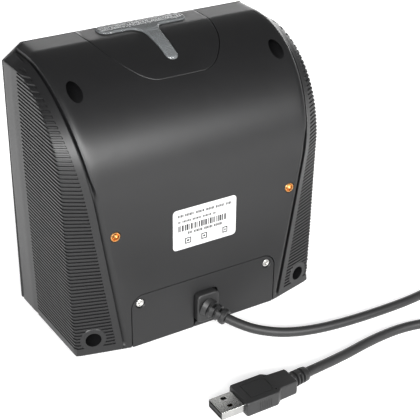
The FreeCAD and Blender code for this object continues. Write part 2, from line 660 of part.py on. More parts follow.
BOOT_START = Vector(-0.3, 44, 12.4)
BOOT_END = Vector(-5.3, 53.6, 9.5)
boot_line = BOOT_END - BOOT_START
boot_block = box("boot_block", (-6.8, 6.2), ("rear_y - 7", BOOT_START.y), (4, 20.9))
boot_cone = cone("boot_cone", (4.6, 3.8), boot_line.Length + 2, BOOT_START - boot_line / boot_line.Length * 2, boot_line)
node(fuse("boot", boot_block, boot_cone), "strain_relief")

# The lead from the boot lies down onto the ground and runs to the coil.
LEAD_ROUTE = [(-5.3, 53.6, 9.5), (-10.5, 60.8, 7.2), (-19.5, 67.5, 4.6), (-32, 73.6, 2.9), (-50, 78.2, 2.5),
              (-76, 80.6, 2.5), (-110, 80.8, 2.5), (-133, 76.2, 2.5), (-149, 70.4, 2.5), (-163, 68.5, 2.5)]
# The tail leaves the coil's upper layer and ends in the plug's boot.
TAIL_ROUTE = [(-137.8, 131.2, 7.5), (-129, 121.6, 6.6), (-117.5, 111.8, 4.2), (-101, 102.2, 2.6),
              (-84, 98.4, 2.5), (-64, 99.2, 2.5), (-42, 102.9, 2.5), (-21.6, 105.4, 3.6)]


def rounded_path(name, route):
    """Straight runs joined by tangent arcs, each arc as large as its two runs allow."""
    points = [Vector(*point) for point in route]
    edges, start = [], points[0]
    for before, corner, after in zip(points, points[1:], points[2:]):
        into, out = corner - before, after - corner
        half_turn = into.getAngle(out) / 2
        reach = 0.45 * min(into.Length, out.Length)
        radius = reach / math.tan(half_turn)
        print(f"{name}: turn {math.degrees(2 * half_turn):.1f} deg, radius {radius:.1f} mm")
        into.normalize()
        out.normalize()
        first, last = corner - into * reach, corner + out * reach
        inward = out - into
        inward.normalize()
        middle = corner + inward * (radius / math.cos(half_turn) - radius)
        edges.append(Part.LineSegment(start, first).toShape())
        edges.append(Part.Arc(first, middle, last).toShape())
        start = last
    edges.append(Part.LineSegment(start, points[-1]).toShape())
    return Part.Wire(edges)


def cable_tube(name, route):
    path = rounded_path(name, route)
    radius = value("cable_radius")
    direction = Vector(*route[1]) - Vector(*route[0])
    profile = Part.Wire([Part.makeCircle(radius, Vector(*route[0]), direction)])
    tube = doc.addObject("Part::Feature", name)
    tube.Shape = path.makePipeShell([profile], True, False)
    ideal = math.pi * radius ** 2 * path.Length
    print(f"{name}: length {path.Length:.1f} mm, volume {tube.Shape.Volume / ideal:.4f} of section x length")
    return node(tube, name)


cable_tube("usb_cable_lead", LEAD_ROUTE)
cable_tube("usb_cable_tail", TAIL_ROUTE)
node(cut("coil_ring",
         cylinder("coil_outer", "coil_radius_out + cable_radius", "4 * cable_radius", ("coil_x", "coil_y", 0), UPWARD),
         cylinder("coil_hole", "coil_radius_in - cable_radius", "4 * cable_radius", ("coil_x", "coil_y", 0), UPWARD)),
     "usb_cable_coil")

# ---------------------------------------------------------------- plug

PLUG = {"y": 107.6, "front": 22.2, "shoulder": 2.2, "neck_end": -8.3, "tip": 34.6, "half": 8.3, "tall": 8}
plug_middle = PLUG["tall"] / 2
shell_half, shell_half_tall, shell_wall = 6, 2.25, 0.3


def plug_box(name, x, half, z):
    return box(name, x, (PLUG["y"] - half, PLUG["y"] + half), z)


grip = new_body("plug_grip")
pad(grip, outline(grip, "plug_plan", "XY_Plane", [
    (str(PLUG["front"]), str(PLUG["y"] - PLUG["half"])), (str(PLUG["front"]), str(PLUG["y"] + PLUG["half"])),
    (str(PLUG["shoulder"]), str(PLUG["y"] + PLUG["half"])),
    (str(PLUG["shoulder"] - 2.2), str(PLUG["y"] + 5.6)), (str(PLUG["neck_end"]), str(PLUG["y"] + 5.0)),
    (str(PLUG["neck_end"]), str(PLUG["y"] - 6.0)), (str(PLUG["shoulder"] - 2.2), str(PLUG["y"] - 6.4)),
    (str(PLUG["shoulder"]), str(PLUG["y"] - PLUG["half"]))]), PLUG["tall"])
round_edges(grip, "plug_edges", 0.8, lambda c: abs(c.z) < 0.01 or abs(c.z - PLUG["tall"]) < 0.01)
tail_end = Vector(*TAIL_ROUTE[-1])
boot_root = Vector(PLUG["neck_end"] + 1, 107.2, 3.95)
boot_run = tail_end - boot_root
plug_boot = cone("plug_boot", (3.8, 3.2), boot_run.Length, boot_root, boot_run)
plug_cavity = plug_box("plug_cavity", (PLUG["front"] - 4, PLUG["front"] + 1), shell_half,
                       (plug_middle - shell_half_tall, plug_middle + shell_half_tall))
node(cut("plug_overmould", fuse("plug_solid", grip, plug_boot), plug_cavity), "usb_plug_overmould")

shell_blank = plug_box("shell_blank", (PLUG["front"] - 4, PLUG["tip"]), shell_half,
                       (plug_middle - shell_half_tall, plug_middle + shell_half_tall))
shell_bore = plug_box("shell_bore", (PLUG["front"] - 5, PLUG["tip"] + 1), shell_half - shell_wall,
                      (plug_middle - shell_half_tall + shell_wall, plug_middle + shell_half_tall - shell_wall))
shell_windows = [box(f"shell_window_{side}", (27.2, 29.8), (PLUG["y"] + side * 2.9 - 1.1, PLUG["y"] + side * 2.9 + 1.1),
                     (plug_middle - 3, plug_middle + 3)) for side in (-1, 1)]
node(cut("plug_shell", shell_blank, shell_bore, *shell_windows), "usb_plug_shell")
tongue_low = plug_middle - shell_half_tall + shell_wall
node(plug_box("tongue", (PLUG["front"] - 4, PLUG["tip"] - 0.5), shell_half - shell_wall,
              (tongue_low, tongue_low + 1.9)), "usb_plug_tongue")
contacts = []
for number, offset in enumerate((-3.5, -1, 1, 3.5)):
    reach = PLUG["tip"] - (1.4 if abs(offset) > 2 else 2.4)
    contacts.append(box(f"contact_{number}", (PLUG["front"], reach),
                        (PLUG["y"] + offset - 0.6, PLUG["y"] + offset + 0.6),
                        (tongue_low + 1.9, tongue_low + 2.1)))
node(group("contact_group", contacts), "usb_plug_contacts")

# ---------------------------------------------------------------- build, check and write

sheet.clear(SCRATCH_CELL)
doc.recompute()
for item in doc.Objects:
    failed = {"Invalid", "Error"} & set(item.State)
    if failed:
        raise RuntimeError(f"{item.Name} ({item.Label}) is {failed}")
os.makedirs("parts", exist_ok=True)
for item in NODES:
    if item.Shape.isNull() or not item.Shape.isValid():
        raise RuntimeError(f"{item.Label} has no valid shape")
    solids = len(item.Shape.Solids)
    print(f"{item.Label}: {solids} solid(s), {item.Shape.Volume / 1000:.2f} cm3")
    item.Shape.exportStep(f"parts/{item.Label}.step")
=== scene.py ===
import json
import math

import bmesh
import bpy
import numpy as np
from mathutils import Matrix, Vector
from mathutils.geometry import delaunay_2d_cdt


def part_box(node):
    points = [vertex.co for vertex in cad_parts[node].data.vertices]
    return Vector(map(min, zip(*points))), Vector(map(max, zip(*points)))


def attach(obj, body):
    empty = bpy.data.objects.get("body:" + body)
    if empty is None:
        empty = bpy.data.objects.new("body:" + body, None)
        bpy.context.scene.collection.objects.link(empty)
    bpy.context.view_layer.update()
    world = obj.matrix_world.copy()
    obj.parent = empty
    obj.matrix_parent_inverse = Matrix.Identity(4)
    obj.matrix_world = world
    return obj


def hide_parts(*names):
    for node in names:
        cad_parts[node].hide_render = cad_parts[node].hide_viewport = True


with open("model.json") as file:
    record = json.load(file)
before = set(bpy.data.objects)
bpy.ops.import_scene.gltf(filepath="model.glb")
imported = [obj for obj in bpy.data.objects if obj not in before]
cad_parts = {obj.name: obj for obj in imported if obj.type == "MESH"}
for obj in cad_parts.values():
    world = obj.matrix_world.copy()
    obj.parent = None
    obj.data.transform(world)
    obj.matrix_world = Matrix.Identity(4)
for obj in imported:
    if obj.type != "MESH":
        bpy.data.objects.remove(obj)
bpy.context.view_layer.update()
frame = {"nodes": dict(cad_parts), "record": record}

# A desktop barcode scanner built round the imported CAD. +Y is the rear, +Z is up, and the
# reading window faces -Y. Shapes are in millimetres, which mesh_object() and cord_curve() turn
# into metres.

MM = 0.001
SCANNER, COVER = "scanner", "cover"
SIDES = (("right", 1), ("left", -1))
# edges sharper than these many degrees are shaded sharp
SHARP, SHELL_SHARP, WING_SHARP, BEZEL_SHARP, PLUG_SHARP, BOOT_SHARP = 32, 28, 25, 30, 30, 34

# ---- materials


# where a colour Mix node keeps its two colours and its result
COLOUR_A, COLOUR_B, COLOUR_OUT = 6, 7, 2
PAD_PITCH = 1.27


class Nodes:
    """A material's node tree, with short ways to add and join nodes."""

    def __init__(self, name):
        self.material = bpy.data.materials.new(name)
        self.material.use_nodes = True
        self.tree = self.material.node_tree
        self.shader = self.tree.nodes["Principled BSDF"]
        self.output = self.tree.nodes["Material Output"]
        self.place = self.add("ShaderNodeTexCoord").outputs["Object"]

    def add(self, kind, inputs=None, **settings):
        node = self.tree.nodes.new(kind)
        for key, setting in settings.items():
            setattr(node, key, setting)
        for key, given in (inputs or {}).items():
            self.feed(node.inputs[key], given)
        return node

    def feed(self, socket, given):
        if isinstance(given, bpy.types.NodeSocket):
            self.tree.links.new(given, socket)
        else:
            socket.default_value = given

    def noise(self, size_mm, detail=2.0, rough=0.5, stretch=(1, 1, 1)):
        """Noise whose blotches are about size_mm across, from 0 to 1."""
        scale = tuple(1 / (MM * size_mm * s) for s in stretch)
        scaled = self.add("ShaderNodeMapping", {"Vector": self.place, "Scale": scale}).outputs[0]
        return self.add("ShaderNodeTexNoise", {"Vector": scaled, "Scale": 1.0, "Detail": detail,
                                               "Roughness": rough}).outputs["Fac"]

    def spread(self, source, low, high, dark=0.3, light=0.7):
        return self.add("ShaderNodeMapRange", {"Value": source, "From Min": dark, "From Max": light,
                                               "To Min": low, "To Max": high}).outputs[0]

    def mix(self, share, first, second, blend="MIX"):
        """Two colours mixed by share; a colour is a socket or three numbers."""
        node = self.add("ShaderNodeMix", {"Factor": share}, data_type="RGBA", blend_type=blend)
        for place, given in ((COLOUR_A, first), (COLOUR_B, second)):
            is_socket = isinstance(given, bpy.types.NodeSocket)
            self.feed(node.inputs[place], given if is_socket else (*given, 1))
        return node.outputs[COLOUR_OUT]

    def tint(self, source, first, second, dark=0.3, light=0.7):
        return self.mix(self.spread(source, 0.0, 1.0, dark, light), first, second)

    def bump(self, source, height_mm):
        return self.add("ShaderNodeBump", {"Height": source, "Strength": 1.0,
                                           "Distance": height_mm * MM}).outputs[0]

    def set(self, **sockets):
        for key, given in sockets.items():
            self.feed(self.shader.inputs[key.replace("_", " ")], given)
        return self


def moulded(name, colour, rough, grain_mm, grain_height, lift=1.12, fleck=0.55):
    """Injection-moulded plastic: spark-eroded grain, faint flow tint and handling marks."""
    m = Nodes(name)
    grain = m.noise(grain_mm, 2.0, 0.6)
    flow = m.noise(26, 3.0, 0.55)
    marks = m.noise(7, 5.0, 0.65, (1, 1, 2.5))
    tone = m.tint(flow, [c * 0.94 for c in colour], [c * lift for c in colour], 0.32, 0.68)
    speck = m.mix(m.spread(grain, 0.0, 0.35, 0.62, 0.42), tone, (fleck, fleck, fleck), "MULTIPLY")
    m.set(Base_Color=speck, Roughness=m.spread(marks, *rough, 0.3, 0.72),
          Normal=m.bump(grain, grain_height))
    return m.material


def metal(name, colour, rough, brush=(1, 1, 1), grain_mm=0.5, height=0.004):
    """Plated or machined metal with a faint directional finish."""
    m = Nodes(name)
    lines = m.noise(grain_mm, 3.0, 0.6, brush)
    stain = m.noise(5, 3.0)
    m.set(Base_Color=m.tint(stain, [c * 0.86 for c in colour], colour), Metallic=1.0,
          Roughness=m.spread(lines, *rough), Normal=m.bump(lines, height))
    return m.material


def clear(name, colour, rough, ior, frost, wave_mm, wave_height, through=1.0):
    """Clear moulded plastic or glass."""
    m = Nodes(name)
    wave = m.noise(wave_mm, 2.0)
    m.set(Base_Color=m.tint(wave, colour, [c * 0.97 for c in colour]), IOR=ior,
          Transmission_Weight=through, Normal=m.bump(wave, wave_height),
          Roughness=m.spread(wave, rough, rough + 0.04 + frost))
    return m.material


def circuit(name, mask, copper):
    """Solder mask over etched tracks, with tinned pads on a grid."""
    m = Nodes(name)
    step = 1 / (PAD_PITCH * MM)
    scaled = m.add("ShaderNodeMapping", {"Vector": m.place, "Scale": (step, step, step)}).outputs[0]
    pads = m.add("ShaderNodeTexVoronoi", {"Vector": scaled, "Scale": 0.5, "Randomness": 0.35})
    tracks = m.add("ShaderNodeTexBrick", {"Vector": scaled, "Scale": 0.22, "Mortar Size": 0.06})
    base = m.mix(m.spread(tracks.outputs["Fac"], 0.0, 0.6, 0.0, 1.0), mask, copper)
    pad = m.spread(pads.outputs["Distance"], 1.0, 0.0, 0.12, 0.16)
    tinned = m.mix(pad, base, (0.72, 0.7, 0.66))
    m.set(Base_Color=tinned, Roughness=m.spread(pads.outputs["Distance"], 0.28, 0.42, 0.1, 0.4),
          Normal=m.bump(tracks.outputs["Fac"], 0.03))
    return m.material


BLACK = (0.0085, 0.0085, 0.009)
# how each slot is made: the material's function and what it is given
LOOKS = {
    "housing_plastic": (moulded, BLACK, (0.37, 0.4), 0.5, 0.02),
    "grip_plastic": (moulded, BLACK, (0.37, 0.4), 0.5, 0.012),
    "bezel_plastic": (moulded, (0.02, 0.02, 0.021), (0.3, 0.4), 0.4, 0.008),
    "cover_plastic": (moulded, BLACK, (0.37, 0.4), 0.5, 0.02),
    "window_clear": (clear, (0.86, 0.88, 0.9), 0.02, 1.5, 0, 30, 0.004),
    "gasket_foam": (moulded, (0.012, 0.012, 0.012), (0.85, 0.95), 0.5, 0.08),
    "light_pipe_clear": (clear, (0.4, 0.42, 0.43), 0.06, 1.49, 0.02, 4, 0.003, 0.7),
    "bright_steel": (metal, (0.78, 0.77, 0.75), (0.2, 0.32)),
    "dark_steel": (metal, (0.2, 0.2, 0.21), (0.3, 0.45)),
    "brass_insert": (metal, (0.72, 0.37, 0.14), (0.28, 0.36)),
    "label_paper": (moulded, (0.66, 0.66, 0.655), (0.34, 0.45), 0.3, 0.002, 1.0, 0.9),
    "cable_jacket": (moulded, (0.022, 0.022, 0.0225), (0.46, 0.52), 0.6, 0.01),
    "boot_rubber": (moulded, (0.02, 0.02, 0.0205), (0.4, 0.48), 0.5, 0.012),
    "plug_metal": (metal, (0.5, 0.5, 0.49), (0.2, 0.26), (1, 3, 3), 0.6, 0.001),
    "plug_plastic": (moulded, (0.02, 0.02, 0.02), (0.35, 0.45), 0.4, 0.006),
    "contact_gold": (metal, (0.95, 0.68, 0.3), (0.15, 0.25), (1, 5, 5), 0.3),
    "circuit_board": (circuit, (0.008, 0.075, 0.03), (0.02, 0.16, 0.06)),
    "white_board": (circuit, (0.72, 0.73, 0.72), (0.6, 0.61, 0.6)),
    "led_white": (clear, (0.95, 0.9, 0.62), 0.2, 1.5, 0.1, 2, 0.01),
    "led_blue": (clear, (0.78, 0.85, 0.95), 0.2, 1.5, 0.1, 2, 0.01),
    "diffuser_frosted": (clear, (0.9, 0.92, 0.93), 0.45, 1.49, 0.2, 0.8, 0.03),
    "shroud_plastic": (moulded, (0.014, 0.014, 0.015), (0.55, 0.7), 0.5, 0.02),
    "chip_epoxy": (moulded, (0.02, 0.02, 0.021), (0.5, 0.62), 0.25, 0.012),
    "header_nylon": (moulded, (0.68, 0.66, 0.58), (0.4, 0.5), 0.4, 0.006),
    "wire_pvc": (moulded, (0.4, 0.04, 0.03), (0.35, 0.45), 0.5, 0.006),
    "camera_plastic": (moulded, (0.016, 0.016, 0.017), (0.4, 0.5), 0.35, 0.01),
    "lens_glass": (clear, (0.72, 0.78, 0.92), 0.01, 1.6, 0, 20, 0.002),
    "bracket_zinc": (metal, (0.62, 0.63, 0.64), (0.35, 0.5), (1, 1, 1), 0.8),
    "brass_barrel": (metal, (0.8, 0.55, 0.24), (0.22, 0.34)),
    "ribbon_film": (moulded, (0.5, 0.24, 0.03), (0.25, 0.35), 0.5, 0.006),
    "foot_rubber": (moulded, (0.025, 0.025, 0.026), (0.6, 0.75), 0.7, 0.02, 1.25),
    "label_ink": (moulded, (0.012, 0.012, 0.013), (0.4, 0.5), 0.2, 0.002),
}
FINISH = {name: make(name, *given) for name, (make, *given) in LOOKS.items()}

node_slot = {part["node"]: part["material_slot"] for part in frame["record"]["subparts"]}
for name, cad in frame["nodes"].items():
    finish = FINISH[node_slot[name]]
    if not cad.data.materials:
        cad.data.materials.append(finish)
    for place in range(len(cad.data.materials)):
        cad.data.materials[place] = finish

# ---- mesh tools


def linked(name, data):
    made = bpy.data.objects.new(name, data)
    bpy.context.scene.collection.objects.link(made)
    return made


def mesh_object(name, points, faces, finish, sharp_deg=SHARP):
    mesh = bpy.data.meshes.new(name)
    metres = (np.asarray(points, float) * MM).tolist()
    mesh.from_pydata(metres, [], [list(map(int, f)) for f in faces])
    return finish_object(name, mesh, finish, sharp_deg)


def finish_object(name, mesh, finish, sharp_deg=SHARP):
    made = linked(name, mesh)
    if finish is not None:
        mesh.materials.append(FINISH[finish])
    tidy(made, sharp_deg)
    return made


def tidy(made, sharp_deg):
    """Merges doubled points, points every face outward, and shades it smooth up to an angle."""
    work = bmesh.new()
    work.from_mesh(made.data)
    bmesh.ops.remove_doubles(work, verts=work.verts, dist=2e-7)
    bmesh.ops.dissolve_degenerate(work, edges=work.edges, dist=2e-7)
    bmesh.ops.recalc_face_normals(work, faces=work.faces)
    work.to_mesh(made.data)
    work.free()
    made.data.polygons.foreach_set("use_smooth", [True] * len(made.data.polygons))
    made.data.set_sharp_from_angle(angle=math.radians(sharp_deg))
    made.data.update()


def boolean(target, tools, sharp_deg=SHARP, operation="DIFFERENCE"):
    for tool in tools:
        step = target.modifiers.new("boolean", "BOOLEAN")
        step.object, step.operation, step.solver = tool, operation, "EXACT"
        graph = bpy.context.evaluated_depsgraph_get()
        result = bpy.data.meshes.new_from_object(target.evaluated_get(graph))
        target.modifiers.clear()
        target.data = result
        bpy.data.objects.remove(tool)
    tidy(target, sharp_deg)
    return target


def even(piece):
    """Keeps broad flat faces flat beside their rounded edges."""
    step = piece.modifiers.new("even", "WEIGHTED_NORMAL")
    step.keep_sharp, step.weight = True, 60
    return piece


def place_piece(piece, body, slot, *nodes):
    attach(piece, body)
    if nodes:
        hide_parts(*nodes)
    return piece


def grid_faces(rows, columns, start=0, wrap=False):
    faces = []
    across = columns if wrap else columns - 1
    for i in range(rows - 1):
        for j in range(across):
            a, b = start + i * columns + j, start + i * columns + (j + 1) % columns
            faces.append((a, b, b + columns, a + columns))
    return faces


def closed_sheet(outer, inner):
    """Points and faces of a solid between two grids of the same shape."""
    rows, columns = outer.shape[:2]
    points = np.concatenate([outer.reshape(-1, 3), inner.reshape(-1, 3)])
    shift = rows * columns
    faces = grid_faces(rows, columns) + [f[::-1] for f in grid_faces(rows, columns, shift)]
    border = list(range(columns))
    border += [i * columns + columns - 1 for i in range(1, rows)]
    border += [(rows - 1) * columns + j for j in range(columns - 2, -1, -1)]
    border += [i * columns for i in range(rows - 2, 0, -1)]
    for a, b in zip(border, border[1:] + border[:1]):
        faces.append((b, a, a + shift, b + shift))
    return points, faces


def loft(name, rings, finish=None, sharp_deg=SHARP):
    """A solid lofted through rings of the same count, with flat ends."""
    rings = [np.asarray(ring, float) for ring in rings]
    count = len(rings[0])
    points = np.concatenate(rings)
    faces = grid_faces(len(rings), count, 0, True)
    faces.append(tuple(range(count))[::-1])
    faces.append(tuple(range((len(rings) - 1) * count, len(rings) * count)))
    return mesh_object(name, points, faces, finish, sharp_deg)


def circle(segments):
    return np.linspace(0, 2 * math.pi, segments, endpoint=False)


def lathe(profile, centre, axis="Y", segments=48):
    """Rings of a turned solid. profile is (distance along the axis, radius) pairs."""
    turn = circle(segments)
    rings = []
    for along, radius in profile:
        first, second = radius * np.cos(turn), radius * np.sin(turn)
        level = np.full(segments, float(along))
        ring = {"Y": (first, level, -second), "Z": (first, second, level)}[axis]
        rings.append(np.stack(ring, 1) + np.asarray(centre, float))
    return rings


def turned(name, profile, centre, axis="Y", segments=48):
    return loft(name, lathe(profile, centre, axis, segments))


def joined(name, made, finish, sharp_deg=SHARP):
    """One object out of several."""
    work = bmesh.new()
    for piece in made:
        work.from_mesh(piece.data)
        bpy.data.objects.remove(piece)
    mesh = bpy.data.meshes.new(name)
    work.to_mesh(mesh)
    work.free()
    return finish_object(name, mesh, finish, sharp_deg)


def torus(name, rings, sharp_deg=SHARP):
    """Rings joined one to the next, and the last to the first."""
    count, last = len(rings[0]), (len(rings) - 1) * len(rings[0])
    faces = grid_faces(len(rings), count, 0, True)
    faces += [(last + j, last + (j + 1) % count, (j + 1) % count, j) for j in range(count)]
    return mesh_object(name, np.concatenate(rings), faces, None, sharp_deg)


def inset(loop, gap):
    """A closed anticlockwise loop moved inward by gap."""
    before, after = loop - np.roll(loop, 1, 0), np.roll(loop, -1, 0) - loop
    first, second = (np.stack([-e[:, 1], e[:, 0]], 1) / np.linalg.norm(e, axis=1, keepdims=True)
                     for e in (before, after))
    return loop + gap * (first + second) / (1 + (first * second).sum(1, keepdims=True))


def within(loop, x, y):
    """Whether x, y lies inside a closed loop."""
    inside = np.zeros(np.shape(x), bool)
    for (ax, ay), (bx, by) in zip(loop, np.roll(loop, -1, 0)):
        if ay != by:
            crosses = (ay > y) != (by > y)
            inside ^= crosses & (x < (bx - ax) * (y - ay) / (by - ay) + ax)
    return inside


def plan_fill(outline, holes, step):
    """Plan points and triangles between an outline and its holes, with a lattice inside."""
    points, edges = [], []
    for loop in [outline, *holes]:
        start = len(points)
        points += [Vector(p) for p in loop]
        edges += [(start + i, start + (i + 1) % len(loop)) for i in range(len(loop))]
    low, high = outline.min(0), outline.max(0)
    x, y = np.meshgrid(*(np.arange(low[i] + step / 2, high[i], step) for i in (0, 1)))
    keep = within(inset(outline, step * 0.4), x, y)
    for hole in holes:
        keep &= ~within(inset(hole, -step * 0.4), x, y)
    points += [Vector(p) for p in zip(x[keep], y[keep])]
    made, _, faces, *_ = delaunay_2d_cdt(points, edges, [], 1, 1e-6)
    made = np.array([tuple(p) for p in made])
    faces = np.array([tuple(f) for f in faces])
    centre = made[faces].mean(1)
    good = within(outline, centre[:, 0], centre[:, 1])
    for hole in holes:
        good &= ~within(hole, centre[:, 0], centre[:, 1])
    return made, faces[good]


def moulding(name, outline, holes, profile, height, step, finish, sharp_deg=40, ripple=None):
    """A piece whose top follows height(x, y). profile is (inset, rise) pairs, bottom edge first."""
    points, faces = [], []

    def add(new_points, new_faces):
        start = sum(len(p) for p in points)
        points.append(new_points)
        faces.extend([tuple(int(i) + start for i in f) for f in new_faces])

    def lift(plan, rise):
        return np.column_stack([plan, height(plan[:, 0], plan[:, 1]) + rise])

    for (gap, rise), up in ((profile[0], False), (profile[-1], True)):
        plan, tri = plan_fill(inset(outline, gap), [inset(hole, -gap) for hole in holes], step)
        lifted = lift(plan, rise)
        if up and ripple is not None:
            lifted[:, 2] += ripple(plan[:, 0], plan[:, 1])
        add(lifted, tri if up else tri[:, ::-1])
    for loop, sense in [(outline, 1)] + [(hole, -1) for hole in holes]:
        rings = [lift(inset(loop, gap * sense), rise) for gap, rise in profile]
        add(np.concatenate(rings), grid_faces(len(rings), len(loop), 0, True))
    return mesh_object(name, np.concatenate(points), faces, finish, sharp_deg)


def ramp(t):
    t = np.clip(t, 0, 1)
    return t * t * (3 - 2 * t)


def soft_min(a, b, width):
    return (a + b - np.sqrt((a - b) ** 2 + width ** 2)) / 2


def soft_max(a, b, width):
    return (a + b + np.sqrt((a - b) ** 2 + width ** 2)) / 2


# ---- housing surface

TOP, REAR, SPLIT, FOOT = 144.9, 41.0, -29.7, 0.5
ROLL_Y, ROLL_Z, ROLL_R, ROLL_TIGHT = -21.9, 83.4, 62.9, 0.95
ROLL_END = math.asin((TOP - ROLL_Z) / (ROLL_R - ROLL_TIGHT))
FLAT_REAR = ROLL_Y + (ROLL_R - ROLL_TIGHT) * math.cos(ROLL_END)
FLAT_FALL = 0.12
HALF, HALF_FOOT = 73.0, 70.8
WALL, WALL_LEAST = 2.5, 0.9
# how far the shells' edges ease in at the foot and at the bezel
FOOT_EASE, FRONT_EASE = 0.4, 0.35

# round the roll: turn in degrees, half width of the panel, fall at the seam, fall at the side
CORNER = np.array([(0, 58.3, 0.8, 8.9), (18, 60.2, 1.3, 7.9), (33, 61.6, 2.1, 6.7),
                   (45, 62.7, 2.6, 6.1), (54, 64.0, 2.8, 5.9), (64, 64.6, 2.9, 5.8),
                   (75, 64.6, 2.9, 5.8), (83, 63.1, 3.0, 7.1)])


def roll_radius(turn):
    """The roll tightens a little towards the top."""
    return ROLL_R - ROLL_TIGHT * ramp((np.degrees(turn) - 50) / 30)


def corner(height, turn):
    """Panel edge, seam and side, with the fall from the panel at the last two."""
    low = 1 - np.clip(height / ROLL_Z, 0, 1)
    degrees, rolled = np.degrees(turn), turn > 0
    panel, seam_fall, side_fall = (
        np.where(rolled, np.interp(degrees, CORNER[:, 0], CORNER[:, column]), upright)
        for column, upright in ((1, 58.3 - 15.5 * low), (2, 0.8 + 0.2 * low), (3, 8.9 - 1.9 * low)))
    seam = seam_x(np.where(rolled, ROLL_Z + (ROLL_R - 3) * np.sin(turn), height))
    return panel, seam, seam_fall, HALF - (HALF - HALF_FOOT) * low, side_fall


def facet_drop(x, height, turn, softness=1.2):
    """How far the corner facet has fallen below the panel at x."""
    panel, seam, seam_fall, side, side_fall = corner(height, turn)
    first = seam_fall / (seam - panel)
    second = (side_fall - seam_fall) / (side - seam)
    x = np.abs(x)
    return first * soft_max(x - panel, 0, softness) + (second - first) * soft_max(x - seam, 0, 0.5)


def seam_x(z):
    return soft_min(46.8 + 0.1528 * z, 65.9 + 0.063 * (z - 125), 1.2)


def rib_edge_x(z):
    return soft_min(50.4 + 0.1497 * z, 70.2, 0.8)


def flat_z(y):
    """The flat top slopes down a little to the front."""
    return TOP - FLAT_FALL * np.clip((FLAT_REAR - y) / (FLAT_REAR - SPLIT), 0, 1)


def rear_points(x, stations, inward):
    """Points of the rolled back at x for each (kind, value) station, inward mm under the skin."""
    out = np.zeros(x.shape + (3,))
    for row, (kind, at) in enumerate(stations):
        line = x[row]
        if kind == "height":
            y, z = REAR - (facet_drop(line, at, 0.0) + inward[row]), at
        elif kind == "turn":
            radius = roll_radius(at) - facet_drop(line, ROLL_Z, at) - inward[row]
            y, z = ROLL_Y + radius * math.cos(at), ROLL_Z + radius * math.sin(at)
        else:
            y, z = at, flat_z(at) - (facet_drop(line, ROLL_Z, ROLL_END) + inward[row])
        out[row, :, 0], out[row, :, 1], out[row, :, 2] = line, y, z
    return out


def skin_z(x, y):
    """Height of the housing's top at x, y within the flat panel."""
    y = np.asarray(y, float)
    turn = np.full(y.shape, 1.2)
    for _ in range(12):
        turn = np.arccos(np.clip((y - ROLL_Y) / roll_radius(turn), -1, 1))
    rolled = ROLL_Z + roll_radius(turn) * np.sin(turn)
    return np.where(y < FLAT_REAR, flat_z(y), rolled) + 0 * np.asarray(x)


def outside(x, y, z):
    """Signed gap to the housing's skin at a point on the +X side, positive outside."""
    up = z - ROLL_Z
    along = y - ROLL_Y
    turn = np.clip(np.arctan2(up, np.maximum(along, 1e-6)), 0, ROLL_END)
    drop = facet_drop(x, z, turn)
    rolled = np.hypot(along, up) - (roll_radius(turn) - drop)
    above = np.where(turn < ROLL_END, rolled, z - (flat_z(y) - drop))
    rear_gap = np.where(up <= 0, y - (REAR - drop), above)
    low = np.clip(1 - z / ROLL_Z, 0, 1)
    draft = low * (0.5 + 1.7 * (y - SPLIT) / 63.7)
    return soft_max(rear_gap * 0.87, x - (HALF - draft), 0.45)


def halved(low, high, gap, rounds):
    """Where gap() changes sign between low and high, by halving."""
    for _ in range(rounds):
        middle = (low + high) / 2
        out = gap(middle) > 0
        high, low = np.where(out, middle, high), np.where(out, low, middle)
    return (low + high) / 2


# ---- middle shell


def channel(z):
    """The channel along the seam at z: how narrow it is from 0 to 1, and its width."""
    narrow = ramp((z - 86) / 16)
    return narrow, 3.3 - 2.0 * narrow


def groove_drop(x, z):
    """Depth of the channel: a soft valley low down, a narrow deep gap higher up."""
    narrow, width = channel(z)
    depth = 1.45 + 0.45 * narrow
    steep = 1.0 + 2.2 * narrow
    across = (np.abs(x) - (seam_x(z) - width)) / width
    return depth * ramp(across * steep) * ramp((z - 2.0) / 3.0)


def shell_columns(seam, panel, width):
    """X of each column from the middle to the seam, crowded at the crease and the channel."""
    edge = seam - width - 0.5
    crease = min(panel, edge - 4)
    return np.concatenate([
        np.linspace(0, crease - 3, 15)[:-1], np.linspace(crease - 3, crease + 3, 13)[:-1],
        np.linspace(crease + 3, edge, 7)[:-1], np.linspace(edge, seam - 0.08, 14)])


def middle_shell():
    stations = [("height", h) for h in (FOOT, 1.0, 2.0, 2.6, 3.2, 4.0, 5.0)]
    stations += [("height", h) for h in np.linspace(7, ROLL_Z, 32)[:-1]]
    stations += [("turn", t) for t in np.linspace(0, ROLL_END, 64)]
    stations += [("flat", y) for y in np.linspace(FLAT_REAR - 1.3, SPLIT + 0.35, 7)]
    stations += [("flat", SPLIT)]
    half_rows = []
    for kind, at in stations:
        turn = {"height": 0.0, "turn": at, "flat": ROLL_END}[kind]
        height = at if kind == "height" else ROLL_Z
        seam = 60.0
        for _ in range(12):
            radius = float(roll_radius(turn) - facet_drop(np.array(seam), height, turn))
            z = at if kind == "height" else ROLL_Z + radius * math.sin(turn)
            seam = float(seam_x(z))
        panel = float(corner(height, turn)[0])
        half_rows.append(shell_columns(seam, panel, float(channel(z)[1])))
    half = np.array(half_rows)
    x = np.concatenate([-half[:, :0:-1], half], 1)
    skin = rear_points(x, stations, np.zeros_like(x))
    sunk = groove_drop(skin[..., 0], skin[..., 2])
    sunk[0] += FOOT_EASE
    sunk[-1] += FRONT_EASE
    lining = np.maximum(WALL, sunk + WALL_LEAST)
    return closed_sheet(rear_points(x, stations, sunk), rear_points(x, stations, lining))


